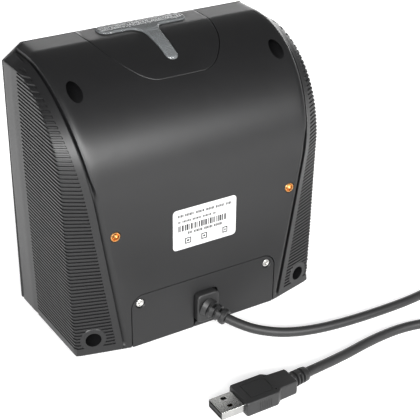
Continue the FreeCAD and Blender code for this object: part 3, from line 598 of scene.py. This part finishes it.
def rounded(corners, radii, steps=8):
    """A closed plan outline with rounded corners; corners go anticlockwise."""
    out = []
    count = len(corners)
    for index, (corner, radius) in enumerate(zip(corners, radii)):
        here = np.array(corner, float)
        before = np.array(corners[index - 1], float) - here
        after = np.array(corners[(index + 1) % count], float) - here
        before, after = before / np.linalg.norm(before), after / np.linalg.norm(after)
        if radius <= 0:
            out.append(here)
            continue
        half = math.acos(np.clip(before @ after, -1, 1)) / 2
        reach = radius / math.tan(half)
        middle = here + (before + after) / np.linalg.norm(before + after) * radius / math.sin(half)
        start, end = here + before * reach - middle, here + after * reach - middle
        sweep = math.atan2(start[0] * end[1] - start[1] * end[0], start @ end)
        base = math.atan2(start[1], start[0])
        for step in range(steps + 1):
            angle = base + sweep * step / steps
            out.append(middle + radius * np.array([math.cos(angle), math.sin(angle)]))
    return np.array(out)


def standing(outline, y):
    """A ring of points across Y at y, from an outline in (x, z)."""
    return np.insert(outline, 1, float(y), 1)


def prism(name, outline, axis, low, high):
    """A straight prism of an outline: axis Z takes (x, y), axis Y takes (x, z)."""
    column = {"Y": 1, "Z": 2}[axis]
    rings = [np.insert(outline, column, float(level), 1) for level in (low, high)]
    return loft(name, rings)


def mirror_outline(right):
    """The closed outline whose right half runs from the front to the rear."""
    left = [(-x, y) for x, y in reversed(right)]
    return [*right, *left]


def indicator_outline(grow, front=0.0):
    """The indicator panel from above, grown all round, its front edge moved out by front."""
    corners = mirror_outline([
        (34.2 + grow, SPLIT - front), (34.2 + grow, -13.0), (29.6 + grow * 0.8, 5.2 + grow * 0.5),
        (20.6 + grow * 0.4, 15.2 + grow), (14.2, 17.9 + grow)])
    return rounded(corners, [0, 56, 34, 15, 13, 13, 15, 34, 56, 0], 9)


PIPE_BAR, PIPE_FRONT, PIPE_REAR, PIPE_END = 24.6, SPLIT + 0.35, -19.0, 9.7


def pipe_outline():
    """The T of the indicator light, whose tail runs down the roll."""
    corners = mirror_outline([(PIPE_BAR, PIPE_FRONT), (PIPE_BAR, PIPE_REAR), (7.4, PIPE_REAR),
                              (4.0, -12.0), (3.3, 0.0), (3.1, PIPE_END)])
    return rounded(corners, [3.5, 4.2, 4.5, 12, 20, 2.6, 2.6, 20, 12, 4.5, 4.2, 3.5], 7)


COVER_HALF, COVER_TOP, COVER_CORNER = 42.6, 30.4, 7.0
NOTCH_LEFT, NOTCH_RIGHT, NOTCH_TOP = -7.3, 6.7, 21.4


def cover_outline(grow, low, notch_top=NOTCH_TOP):
    """The connector cover seen from behind, grown all round."""
    half, top, low = COVER_HALF + grow, COVER_TOP + grow, low - grow
    corners = [(half, low), (half, top), (-half, top), (-half, low)]
    radii = [0.8, COVER_CORNER + grow, COVER_CORNER + grow, 0.8]
    left, right, high = NOTCH_LEFT + grow, NOTCH_RIGHT - grow, notch_top - grow
    corners += [(left, low), (left, high), (right, high), (right, low)]
    fillet = min(2.2 - grow, (high - low) * 0.4)
    radii += [0.4, fillet, fillet, 0.4]
    return rounded(corners, radii, 8)


POST_SEGMENTS = 56


def screw_post(name, x, z, radius, start, under):
    """A round post along Y from start out to just under the skin, whose end follows the skin."""
    turn = circle(POST_SEGMENTS)
    rings = []
    for share in (1.0, 0.94, 0.6, 0.25):
        px, pz = x + radius * share * np.cos(turn), z - radius * share * np.sin(turn)
        edge = 0.3 if share == 1.0 else 0.0
        rings.append(np.stack([px, rear_y(px, pz) - under - edge, pz], 1))
    foot = standing(np.stack([x + radius * np.cos(turn), z - radius * np.sin(turn)], 1), start)
    return loft(name, [foot] + rings)


def rear_y(x, z):
    """Y of the housing's skin seen along Y, at x and z, by halving the gap."""
    low, high = np.full(np.shape(x), SPLIT), np.full(np.shape(x), REAR + 1)
    return halved(low, high, lambda y: outside(np.abs(x), y, z), 40)


UPPER_X, UPPER_Z = 56.1, 133.7
LOWER_X, LOWER_Z = 62.0, 9.3
INSERT_X, INSERT_Z = 50.2, 67.6
CASE_SCREW_HOLE = 1.8
# x and z of each case-screw bore, its radius, and the Y of its seat
BORES = {"upper": (UPPER_X, UPPER_Z, 3.55, -6.0), "lower": (LOWER_X, LOWER_Z, 3.9, 18.0)}


def bore_cutter(name, side, level):
    x, z, radius, seat = BORES[level]
    mouth = float(rear_y(np.array([x]), np.array([z]))[0])
    return turned(name, [(seat, radius), (mouth + 12, radius)], (side * x, 0, z), segments=50)


shell = mesh_object("middle_shell", *middle_shell(), "housing_plastic", SHELL_SHARP)
posts = [screw_post(f"shell_post_{n}", s * UPPER_X, UPPER_Z, 5.4, -8, 0.9)
         for n, s in SIDES]
boolean(shell, posts, SHELL_SHARP, "UNION")
cutters = [bore_cutter(f"shell_bore_{n}", s, "upper") for n, s in SIDES]
cutters += [turned(f"shell_through_{n}", [(-12, CASE_SCREW_HOLE), (-3, CASE_SCREW_HOLE)],
                   (s * UPPER_X, 0, UPPER_Z), segments=32) for n, s in SIDES]
cutters += [turned(f"shell_socket_{n}", [(33, 2.6), (40.55, 2.6), (41.3, 3.1)],
                   (s * INSERT_X, 0, INSERT_Z)) for n, s in SIDES]
cutters.append(prism("cover_hole", cover_outline(0.4, -2, 4.0), "Y", 36, 44))
cutters.append(prism("indicator_hole", indicator_outline(0.3, 2.0), "Z", 118, 150))
boolean(shell, cutters, SHELL_SHARP)
place_piece(even(shell), SCANNER, "housing_plastic", "rear_shell")

# ---- side covers

RIB_PITCH, RIB_FIRST, RIB_LAST = 1.937, 4.0, 139.2
RIB_STEPS = (0.0, 0.42, 0.54, 0.88)
RIB_LEVELS = (0.03, 0.03, 0.62, 0.62)


# the columns of a side cover's grid that lie between the plain borders
RIB_COLUMNS = slice(7, 59)
# where the plain band at the front begins to lean forward, and how deep it lies
BAND_BEND_Z, BAND_DEPTH = 133.4, 0.4


def cover_rows():
    """(height, how deep the rib field lies there) for each row of a side cover."""
    rows = [(FOOT, 0.0), (1.0, 0.0), (2.4, 0.0), (3.4, 0.0)]
    z = RIB_FIRST
    while z < RIB_LAST:
        for step, level in zip(RIB_STEPS, RIB_LEVELS):
            if z + step * RIB_PITCH < RIB_LAST:
                rows.append((z + step * RIB_PITCH, level))
        z += RIB_PITCH
    rows += [(RIB_LAST + 0.25, 0.0), (139.9, 0.0), (140.5, 0.0), (141.0, 0.0)]
    return rows


def slice_points(z, angles, under=0.0):
    """One horizontal slice of the skin, or of a surface under it, by rays from inside."""
    start_x = float(seam_x(z))
    dx, dy = np.cos(angles), np.sin(angles)
    low, high = np.zeros_like(angles), np.full_like(angles, 110.0)
    reach = halved(low, high, lambda r: outside(start_x + r * dx, SPLIT + r * dy, z) + under, 34)
    return start_x + reach * dx, SPLIT + reach * dy


def side_cover():
    """Outer and inner grids of the right-hand cover."""
    steep, flat = math.radians(72), math.radians(20)
    angles = np.concatenate([np.linspace(math.pi / 2, steep, 150)[:-1],
                             np.linspace(steep, flat, 170)[:-1], np.linspace(flat, 0, 80)])
    skin, depth, lining = [], [], []
    for z, level in cover_rows():
        x, y = slice_points(z, angles)
        length = np.concatenate([[0], np.cumsum(np.hypot(np.diff(x), np.diff(y)))])
        total = length[-1]
        end_x = x.max()
        widening = np.maximum.accumulate(x)
        rib_edge = np.interp(min(float(rib_edge_x(z)), end_x - 0.5), widening, length)
        bend = max(np.interp(end_x - 1.2, widening, length), rib_edge + 0.6)
        falling = -np.minimum.accumulate(y)
        high_shift = ramp((z - BAND_BEND_Z) / 6.0) * 1.2
        front_y = -10.3 - 3.1 * z / BAND_BEND_Z + high_shift
        crease_y = -14.9 - 4.8 * z / 134 + high_shift
        rib_front = max(float(np.interp(-front_y, falling, length)), bend + 0.6)
        crease = max(float(np.interp(-crease_y, falling, length)), rib_front + 1.0)
        stations = np.concatenate([
            [0, 0.25], np.linspace(0.25, rib_edge, 6)[1:],
            np.linspace(rib_edge + 0.35, bend - 0.1, 16), np.linspace(bend, rib_front - 0.35, 36),
            np.linspace(rib_front, crease, 5), np.linspace(crease, total, 9)[1:]])
        stations = np.clip(stations, 0, total)
        px, py = np.interp(stations, length, x), np.interp(stations, length, y)
        skin.append(np.stack([px, py, np.full_like(px, z)], 1))
        ix, iy = slice_points(z, np.interp(stations, length, angles), WALL)
        lining.append(np.stack([ix, iy, np.full_like(ix, z)], 1))
        field = np.zeros_like(stations)
        field[RIB_COLUMNS] = 1.0
        strip = np.clip((crease - stations) / max(crease - rib_front, 0.1), 0, 1)
        drop = field * level + strip * (stations >= rib_front - 0.1) * BAND_DEPTH
        drop[0] += 0.3
        depth.append(drop)
    skin, depth = np.array(skin), np.array(depth)
    depth[0] += FOOT_EASE
    depth[:, -1] += FRONT_EASE
    normal = grid_normals(skin)
    outer = skin - normal * depth[..., None]
    inner = np.array(lining)
    for grid in (outer, inner):
        grid[..., 0] = np.maximum(grid[..., 0], seam_x(grid[..., 2]) + 0.05)
    outer[:, -1, 1], inner[:, -1, 1] = SPLIT, SPLIT
    outer[0, :, 2], inner[0, :, 2] = FOOT, FOOT
    return outer, inner


HOUSING_MIDDLE = np.array([0.0, -10.0, 70.0])


def grid_normals(grid):
    """Unit normals of a grid of points, pointing out of the housing."""
    across = np.gradient(grid, axis=1)
    up = np.gradient(grid, axis=0)
    normal = np.cross(across, up)
    length = np.linalg.norm(normal, axis=2, keepdims=True)
    normal = normal / np.maximum(length, 1e-9)
    facing = np.sign(((grid - HOUSING_MIDDLE) * normal).sum(2, keepdims=True))
    return normal * np.where(facing == 0, 1, facing)


cover_outer, cover_inner = side_cover()
for side_name, side in SIDES:
    mirror = np.array([side, 1, 1])
    sheet = closed_sheet(cover_outer * mirror, cover_inner * mirror)
    wing = mesh_object(f"{side_name}_ribbed_cover", *sheet, "grip_plastic", WING_SHARP)
    boss = screw_post(f"{side_name}_boss", side * LOWER_X, LOWER_Z, 6.6, 16, 0.02)
    boolean(wing, [boss], WING_SHARP, "UNION")
    through = turned(f"{side_name}_low_through", [(10, CASE_SCREW_HOLE), (20, CASE_SCREW_HOLE)],
                     (side * LOWER_X, 0, LOWER_Z), segments=32)
    boolean(wing, [bore_cutter(f"{side_name}_low_bore", side, "lower"), through], WING_SHARP)
    place_piece(wing, SCANNER, "grip_plastic", f"{side_name}_side_cover")

# ---- indicator panel and light

PANEL_PROFILE = [(0.0, -2.3), (0.0, -0.28), (0.09, -0.09), (0.28, 0.0)]
panel = moulding("indicator_top_panel", indicator_outline(0.0), [inset(pipe_outline(), -0.15)],
                 PANEL_PROFILE, skin_z, 1.6, "housing_plastic", 40)
place_piece(even(panel), SCANNER, "housing_plastic", "indicator_panel")


def prism_lines(x, y):
    """Fine slanting prisms on top of the bar and at the tip of the tail."""
    on_bar = ramp((PIPE_REAR - 1.6 - y) / 1.0)
    on_tail = ramp((y + 1.0) / 2.0) * ramp((PIPE_END - 1.2 - y) / 0.8)
    return 0.025 * np.maximum(on_bar, on_tail) * np.sin(2 * math.pi * (x * 0.62 + y * 0.78) / 1.5)


PIPE_PROFILE = [(0.0, -2.6), (0.0, -0.05), (0.04, 0.06), (0.42, 0.68), (0.52, 0.77), (0.68, 0.8)]
pipe = moulding("indicator_t_light", pipe_outline(), [], PIPE_PROFILE, skin_z, 0.42,
                "light_pipe_clear", 50, prism_lines)
place_piece(pipe, SCANNER, "light_pipe_clear", "indicator_light_pipe")

# ---- connector cover and its screws

SCREW_HALF, SCREW_HIGH, SCREW_SEAT = 37.7, 25.7, 39.7
cover_rings = [standing(cover_outline(gap, FOOT), y)
               for gap, y in ((0.0, 38.6), (0.0, 40.62), (-0.12, 40.88), (-0.38, REAR))]
plate = loft("rear_connector_plate", cover_rings, "cover_plastic", BEZEL_SHARP)
plate_bore = [(38, 1.2), (SCREW_SEAT, 1.2), (SCREW_SEAT, 2.5), (40.7, 2.5), (41.2, 2.95)]
boolean(plate, [turned(f"plate_bore_{n}", plate_bore, (s * SCREW_HALF, 0, SCREW_HIGH), segments=44)
                for n, s in SIDES], BEZEL_SHARP)
place_piece(even(plate), COVER, "cover_plastic", "connector_cover")


CROSS_TURN = 25


def phillips(name, x, z, seat, radius, height, shank, tip):
    """A pan-head screw along Y with a cross recess."""
    form = [(tip, shank * 0.5), (tip + 0.9, shank), (seat, shank)]
    form += [(seat + height * up, radius * share) for up, share in
             ((0, 1), (0.5, 1), (0.74, 0.95), (0.9, 0.8), (1, 0.45))]
    screw = turned(name, form, (x, 0, z), segments=44)
    arm, reach = 0.36, radius * 0.66
    cross = np.array([(arm, -reach), (arm, -arm), (reach, -arm), (reach, arm), (arm, arm),
                      (arm, reach)])
    turn = math.radians(CROSS_TURN)
    spin = np.array([[math.cos(turn), math.sin(turn)], [-math.sin(turn), math.cos(turn)]])
    cross = np.concatenate([cross, -cross]) @ spin
    recess = prism(name + "_cross", cross + (x, z), "Y", seat + height * 0.3, seat + height + 1)
    return boolean(screw, [recess])


screw_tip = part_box("connector_cover_screws")[0][1] / MM
cover_screws = joined("rear_plate_screws", [
    phillips(f"plate_screw_{n}", s * SCREW_HALF, SCREW_HIGH, SCREW_SEAT, 2.2, 1.2, 1.0, screw_tip)
    for n, s in SIDES], "bright_steel")
place_piece(cover_screws, COVER, "bright_steel", "connector_cover_screws")

# ---- brass inserts

thread = []
for turn_number in range(9):
    thread += [(39.9 - 0.5 * turn_number, 1.5), (39.65 - 0.5 * turn_number, 1.72)]
insert_loop = [(35, 2.5), (40.75, 2.55), (41.0, 2.35), (41.0, 1.95), (40.5, 1.72), *thread,
               (35, 1.5)]
sockets = [torus(f"insert_{n}", lathe(insert_loop, (s * INSERT_X, 0, INSERT_Z), segments=40))
           for n, s in SIDES]
inserts = joined("brass_bracket_inserts", sockets, "brass_insert")
place_piece(inserts, SCANNER, "brass_insert", "mounting_inserts")

# ---- front bezel


FRONT, CHAMFER_Z, CHAMFER_X = -41.0, 137.3, 62.85
WINDOW_HALF, WINDOW_LOW, WINDOW_HIGH, WINDOW_CUT = 56.0, 22.0, 118.0, 2.0


def bezel_ring(y, gap):
    """The bezel's outer outline at y, with its edges moved in by gap."""
    right = [(HALF - gap, FOOT + 0.6 * gap), (HALF - gap, CHAMFER_Z - 0.42 * gap),
             (CHAMFER_X - 0.42 * gap, TOP - FLAT_FALL - gap)]
    return standing(rounded(mirror_outline(right), [1.5] * 6, 6), y)


def window_ring(y, grow):
    """The window opening's outline at y, grown all round."""
    half, low, high = WINDOW_HALF + grow, WINDOW_LOW - grow, WINDOW_HIGH + grow
    right = [(half, low), (half, high - WINDOW_CUT), (half - WINDOW_CUT, high)]
    return standing(rounded(mirror_outline(right), [1.6, 1.4, 1.4, 1.4, 1.4, 1.6], 6), y)


frame_rings = [bezel_ring(SPLIT, 0.3), bezel_ring(SPLIT - 0.12, 0.1), bezel_ring(SPLIT - 0.4, 0.0)]
frame_rings += [bezel_ring(SPLIT - d, d - 0.4) for d in np.linspace(1.5, 10.0, 8)]
frame_rings += [bezel_ring(-40.45, 10.5), bezel_ring(-40.85, 11.15), bezel_ring(FRONT, 11.9)]
frame_rings += [window_ring(y, grow) for y, grow in
                ((FRONT, 0.8), (-40.6, 0.2), (-38.5, 0.0), (-38.5, 3.5), (SPLIT, 3.5))]
front = torus("window_frame", frame_rings, BEZEL_SHARP)
pillars = [turned(f"pillar_{n}_{level}", [(SPLIT - 1.5, 4.2), (seat - 2.1, 4.2)], (s * x, 0, z),
                  segments=32)
           for n, s in SIDES for level, (x, z, _, seat) in BORES.items()]
bezel = joined("front_window_bezel", [front, *pillars], "bezel_plastic", BEZEL_SHARP)
place_piece(bezel, SCANNER, "bezel_plastic", "front_bezel")

# ---- label print


def flat_bars(name, bars, low_y, high_y, finish):
    """Thin raised bars on the rear panel, from (x0, x1, z0, z1) rectangles."""
    points, faces = [], []
    for x0, x1, z0, z1 in bars:
        start = len(points)
        points += [(x, y, z) for x in (x0, x1) for y in (low_y, high_y) for z in (z0, z1)]
        faces += [tuple(start + i for i in face) for face in
                  ((0, 1, 3, 2), (4, 6, 7, 5), (0, 4, 5, 1), (2, 3, 7, 6), (0, 2, 6, 4),
                   (1, 5, 7, 3))]
    return mesh_object(name, points, faces, finish)


def greeked(start, end, z, tall, seed):
    """A row of strokes that stands for a line of small print, read from +X to -X."""
    bars, x, count = [], start, 0
    while x > end + 0.5:
        wide = 0.46 + 0.12 * ((count * 5 + seed) % 3)
        if (count + seed) % 7 != 5:
            bars.append((x - wide, x, z, z + tall * (0.72 + 0.14 * ((count * 3 + seed) % 3))))
        x -= wide + 0.26
        count += 1
    return bars


def code_bars(start, end, z0, z1):
    """A row of upright bars of uneven width, with no code in them."""
    bars, x, count = [], start, 0
    while x > end + 0.9:
        wide = 0.42 + 0.3 * ((count * 7 + count // 3) % 3)
        bars.append((x - wide, x, z0, z1))
        x -= wide + 0.34 + 0.2 * ((count * 5 + count // 4) % 3)
        count += 1
    return bars


MARK_LOW, MARK_HIGH, MARK_LINE = 52.6, 56.0, 0.6
print_bars = greeked(16.2, -15.0, 68.2, 1.7, 1) + greeked(16.2, -6.0, 65.0, 1.7, 3)
print_bars += code_bars(16.2, -12.5, 60.2, 63.6) + greeked(10.5, -9.5, 57.8, 1.5, 2)
for x0, x1 in ((8.6, 12.2), (-0.6, 2.8), (-12.6, -9.6)):
    z0, z1 = MARK_LOW + MARK_LINE, MARK_HIGH - MARK_LINE
    print_bars += [(x0, x1, MARK_LOW, z0), (x0, x1, z1, MARK_HIGH), (x0, x0 + MARK_LINE, z0, z1),
                   (x1 - MARK_LINE, x1, z0, z1),
                   (x0 + 1.1, x1 - 1.1, MARK_LOW + 1.2, MARK_HIGH - 1.2)]
place_piece(flat_bars("label_print", print_bars, 41.1, 41.17, "label_ink"), SCANNER, "label_paper")

# ---- strain relief and plug


SLOT_EDGE = 0.012


def slotted_tube(name, start, end, profile, slots, depth):
    """A tapered boot with slots cut partly round it. profile is (place, radius) pairs, and slots
    are (place, half width, phase, reach); a place is a share of the length from start to end."""
    start, end = np.array(start, float), np.array(end, float)
    along = (end - start) / np.linalg.norm(end - start)
    side = np.cross(along, (0, 0, 1.0))
    side = side / np.linalg.norm(side)
    up = np.cross(side, along)
    places = {t for t, _ in profile}
    for place, half, _, _ in slots:
        places |= {place - half - SLOT_EDGE, place - half, place + half, place + half + SLOT_EDGE}
    turn = circle(POST_SEGMENTS)
    rings = []
    for t in sorted(places):
        radius = np.full(POST_SEGMENTS, float(np.interp(t, *zip(*profile))))
        for place, half, phase, reach in slots:
            if abs(t - place) <= half + 1e-6:
                radius -= depth * ramp((np.cos(2 * (turn - phase)) - reach) / 0.18)
        spokes = np.cos(turn)[:, None] * side + np.sin(turn)[:, None] * up
        rings.append(start + (end - start) * t + radius[:, None] * spokes)
    return loft(name, rings, None, BOOT_SHARP)


flange_rings = []
for gap, level in ((0.0, 36.5), (0.0, 43.1), (0.22, 43.65), (0.6, 43.93), (1.1, 44.0)):
    right, left, low, high = 6.2 - gap, -6.8 + gap, 4.0 + gap, 20.9 - gap
    plan = rounded([(right, low), (right, high), (left, high), (left, low)], [2.8 - gap] * 4, 8)
    flange_rings.append(standing(plan, level))
boot = loft("cable_boot", flange_rings, "boot_rubber", BOOT_SHARP)
sleeve = slotted_tube(
    "cable_sleeve", (0.4, 42.6, 12.8), (-5.3, 53.6, 9.5),
    [(0, 5.6), (0.13, 5.0), (0.2, 4.7), (0.8, 4.05), (0.83, 4.3), (0.96, 4.2), (1.0, 3.7)],
    [(place, 0.05, phase, -0.35) for place, phase in
     ((0.25, 0.35), (0.4, 1.92), (0.55, 0.35), (0.7, 1.92))], 2.3)
boolean(boot, [sleeve], BOOT_SHARP, "UNION")
place_piece(even(boot), SCANNER, "boot_rubber", "strain_relief")

PLUG_Y = 107.6


def slab_ring(x, half, low, high, corner, dent=0.0):
    """The plug's outline across X: a rounded rectangle whose sides can be dented inward."""
    middle, tall = (low + high) / 2, (high - low) / 2
    inner, shoulder = half - corner, tall - corner
    arc = np.linspace(0, math.pi / 2, 6)[1:-1]
    right = [(half - (dent if abs(up) < shoulder - 0.7 else 0), up)
             for up in np.linspace(-shoulder, shoulder, 13)]
    ring = right + [(inner + corner * math.cos(a), shoulder + corner * math.sin(a)) for a in arc]
    ring += [(inner, tall), (-inner, tall)]
    ring += [(-inner - corner * math.sin(a), shoulder + corner * math.cos(a)) for a in arc]
    ring += [(-across, up) for across, up in reversed(right)]
    ring += [(-inner - corner * math.cos(a), -shoulder - corner * math.sin(a)) for a in arc]
    ring += [(-inner, -tall), (inner, -tall)]
    ring += [(inner + corner * math.sin(a), -shoulder - corner * math.cos(a)) for a in arc]
    return np.array([(x, PLUG_Y + across, middle + up) for across, up in ring])


def grip_ring(x, half=8.3, dent=0.0):
    return slab_ring(x, half, 0, 8, 0.9, dent)


grooves = []
for at in (8.6 + 1.05 * groove for groove in range(7)):
    grooves += [grip_ring(at), grip_ring(at + 0.12, dent=0.2), grip_ring(at + 0.48, dent=0.2),
                grip_ring(at + 0.6)]
plug_rings = [slab_ring(-8.3, 4.7, 0.9, 7.1, 1.4), slab_ring(-8.0, 5.3, 0.35, 7.65, 1.2),
              slab_ring(-7.4, 5.7, 0.1, 7.9, 0.9), grip_ring(1.6, 6.1), grip_ring(2.0, 6.2),
              grip_ring(4.4, 8.1), grip_ring(4.9), *grooves, grip_ring(21.2),
              slab_ring(21.8, 8.05, 0.25, 7.75, 1.0), slab_ring(22.2, 7.4, 0.9, 7.1, 1.3)]
plug = loft("plug_grip", plug_rings, "boot_rubber", PLUG_SHARP)
badge = rounded([(18.4, PLUG_Y - 5.2), (18.4, PLUG_Y + 5.2), (6.4, PLUG_Y + 5.2),
                 (4.8, PLUG_Y + 3.0), (4.8, PLUG_Y - 3.0), (6.4, PLUG_Y - 5.2)], [0.9] * 6, 4)
dimples = [turned(f"plug_dimple_{n}", [(7.0, 0.5), (8.4, 0.55)], (4.3, PLUG_Y + s * 5.2, 0),
                  "Z", 20) for n, s in SIDES]
boolean(plug, [prism("badge_groove", badge, "Z", 7.72, 8.6), *dimples], PLUG_SHARP)
boolean(plug, [prism("badge_field", inset(badge, 0.42), "Z", 6.5, 7.97)], PLUG_SHARP, "UNION")
neck = slotted_tube(
    "plug_neck_boot", (-7.3, 107.3, 3.95), (-21.6, 105.4, 3.6),
    [(0, 4.0), (0.6, 3.8), (0.72, 3.6), (0.76, 3.2), (0.78, 2.6), (1.0, 2.52)],
    [(place, 0.032, 0.0, reach) for place, reach in
     ((0.18, -1.4), (0.33, -0.5), (0.48, -1.4))], 1.2)
boolean(plug, [neck], PLUG_SHARP, "UNION")
place_piece(even(plug), SCANNER, "boot_rubber", "usb_plug_overmould")

tip = [slab_ring(18.2, 6.0, 1.75, 6.25, 0.55), slab_ring(34.35, 6.0, 1.75, 6.25, 0.55),
       slab_ring(34.6, 5.86, 1.89, 6.11, 0.5)]
metal_shell = loft("plug_metal_shell", tip, "plug_metal", PLUG_SHARP)
cutters = [loft("plug_hollow", [slab_ring(x, 5.68, 2.07, 5.93, 0.35) for x in (19.0, 36.0)])]
for side_name, side in SIDES:
    left, right = PLUG_Y + side * 2.9 - 0.95, PLUG_Y + side * 2.9 + 0.95
    latch = rounded([(29.8, left), (29.8, right), (27.2, right), (27.2, left)], [0.2] * 4, 3)
    cutters += [prism(f"plug_window_{side_name}_{z}", latch, "Z", z, z + 1.2) for z in (5.4, 1.3)]
boolean(metal_shell, cutters, PLUG_SHARP)
place_piece(even(metal_shell), SCANNER, "plug_metal", "usb_plug_shell")

# ---- cord

LEAD_ROUTE = [(-5.3, 53.6, 9.5), (-10.5, 60.8, 7.2), (-19.5, 67.5, 4.6), (-32, 73.6, 2.9),
              (-50, 78.2, 2.5), (-76, 80.6, 2.5), (-110, 80.8, 2.5), (-133, 76.2, 2.5),
              (-149, 70.4, 2.5), (-163, 68.5, 2.5)]
TAIL_ROUTE = [(-137.8, 131.2, 7.5), (-129, 121.6, 6.6), (-117.5, 111.8, 4.2), (-101, 102.2, 2.6),
              (-84, 98.4, 2.5), (-64, 99.2, 2.5), (-42, 102.9, 2.5), (-21.6, 105.4, 3.6)]
COIL_CENTRE = (-163.0, 106.0)
COIL_OUT, COIL_IN, COIL_PITCH = 37.5, 20.0, 5.0
CORD_RADIUS, TURN_POINTS = 2.5, 16


def coil_points():
    """Two layers wound one way: inward on the ground, then outward on top."""
    inward, outward = 3.5, 3.125
    points = []
    steps = round((inward + outward) * TURN_POINTS)
    for step in range(1, steps):
        turns = step / TURN_POINTS
        angle = -math.pi / 2 - 2 * math.pi * turns
        radius = COIL_OUT - COIL_PITCH * turns
        if turns > inward:
            radius = COIL_IN + COIL_PITCH * (turns - inward)
        climb = float(ramp((turns - inward + 0.085) / 0.28))
        points.append((COIL_CENTRE[0] + radius * math.cos(angle),
                       COIL_CENTRE[1] + radius * math.sin(angle), CORD_RADIUS * (1 + 2 * climb)))
    return points


def cord_curve(name, route, radius, finish):
    curve = bpy.data.curves.new(name, "CURVE")
    curve.dimensions = "3D"
    line = curve.splines.new("NURBS")
    line.points.add(len(route) - 1)
    for point, place in zip(line.points, route):
        point.co = (*(MM * part for part in place), 1)
    line.order_u = 3
    line.use_endpoint_u = True
    line.resolution_u = 6
    curve.bevel_depth = radius * MM
    curve.bevel_resolution = 6
    curve.use_fill_caps = True
    made = linked(name, curve)
    curve.materials.append(FINISH[finish])
    return made


cord = cord_curve("usb_lead", LEAD_ROUTE + coil_points() + TAIL_ROUTE, CORD_RADIUS, "cable_jacket")
place_piece(cord, SCANNER, "cable_jacket", "usb_cable_lead", "usb_cable_coil", "usb_cable_tail")

# ---- camera, floor and light


CAMERA_ROLL = math.radians(0.758)
FLOOR_REACH = 6.0
# how strongly the floor glows under the object and away from it, and where it changes; the weaker
# glow under the object is painted shade round its foot
NEAR_SHADED_GLOW, FAR_GLOW, GLOW_REACH = 0.62, 1.0, (0.07, 0.2)


def camera():
    data = bpy.data.cameras.new("camera")
    data.lens, data.sensor_width = 95.19, 36
    data.clip_start, data.clip_end = 0.01, 20
    made = linked("camera", data)
    place, target = Vector((0.25106, 0.45065, 0.33470)), Vector((-0.00220, 0.041, 0.06782))
    forward = (target - place).normalized()
    right = forward.cross(Vector((0, 0, 1))).normalized()
    up = right.cross(forward)
    cos, sin = math.cos(CAMERA_ROLL), math.sin(CAMERA_ROLL)
    right, up = right * cos + up * sin, up * cos - right * sin
    turn = Matrix((right, up, -forward)).transposed().to_4x4()
    made.matrix_world = Matrix.Translation(place) @ turn
    bpy.context.scene.camera = made


def area_light(name, place, target, size, power):
    data = bpy.data.lights.new(name, "AREA")
    data.shape = "RECTANGLE"
    data.size, data.size_y = size
    data.energy = power
    made = linked(name, data)
    made.location = place
    made.rotation_mode = "QUATERNION"
    made.rotation_quaternion = (Vector(target) - Vector(place)).to_track_quat("-Z", "Y")


def studio():
    floor = bpy.data.meshes.new("floor")
    signs = ((-1, -1), (1, -1), (1, 1), (-1, 1))
    floor.from_pydata([(x * FLOOR_REACH, y * FLOOR_REACH, 0) for x, y in signs], [], [(0, 1, 2, 3)])
    made = linked("floor", floor)
    pale = Nodes("floor_pale")
    away = pale.add("ShaderNodeVectorMath", {0: pale.place}, operation="LENGTH").outputs["Value"]
    # the floor's glow dims towards the object: painted shade under and round it
    pale.set(Base_Color=pale.tint(pale.noise(300), (0.6, 0.6, 0.6), (0.62, 0.62, 0.62)),
             Roughness=0.9, Emission_Color=(1, 1, 1, 1),
             Emission_Strength=pale.spread(away, NEAR_SHADED_GLOW, FAR_GLOW, *GLOW_REACH))
    floor.materials.append(pale.material)
    world = bpy.data.worlds.new("studio")
    bpy.context.scene.world = world
    world.use_nodes = True
    sky = world.node_tree.nodes["Background"]
    sky.inputs["Color"].default_value = (1, 1, 1, 1)
    sky.inputs["Strength"].default_value = 0.18
    bpy.context.scene.view_settings.view_transform = "Standard"
    area_light("softbox", (0.5, 1.8, 0.93), (0.05, 0.04, 0.11), (3.2, 0.46), 92)
    area_light("high_softbox", (1.3, 1.55, 1.1), (0.05, 0.0, 0.11), (0.9, 0.8), 6)
    area_light("backdrop", (-1.6, -2.4, 0.42), (0, 0, 0.14), (3.6, 0.8), 42)


camera()
studio()
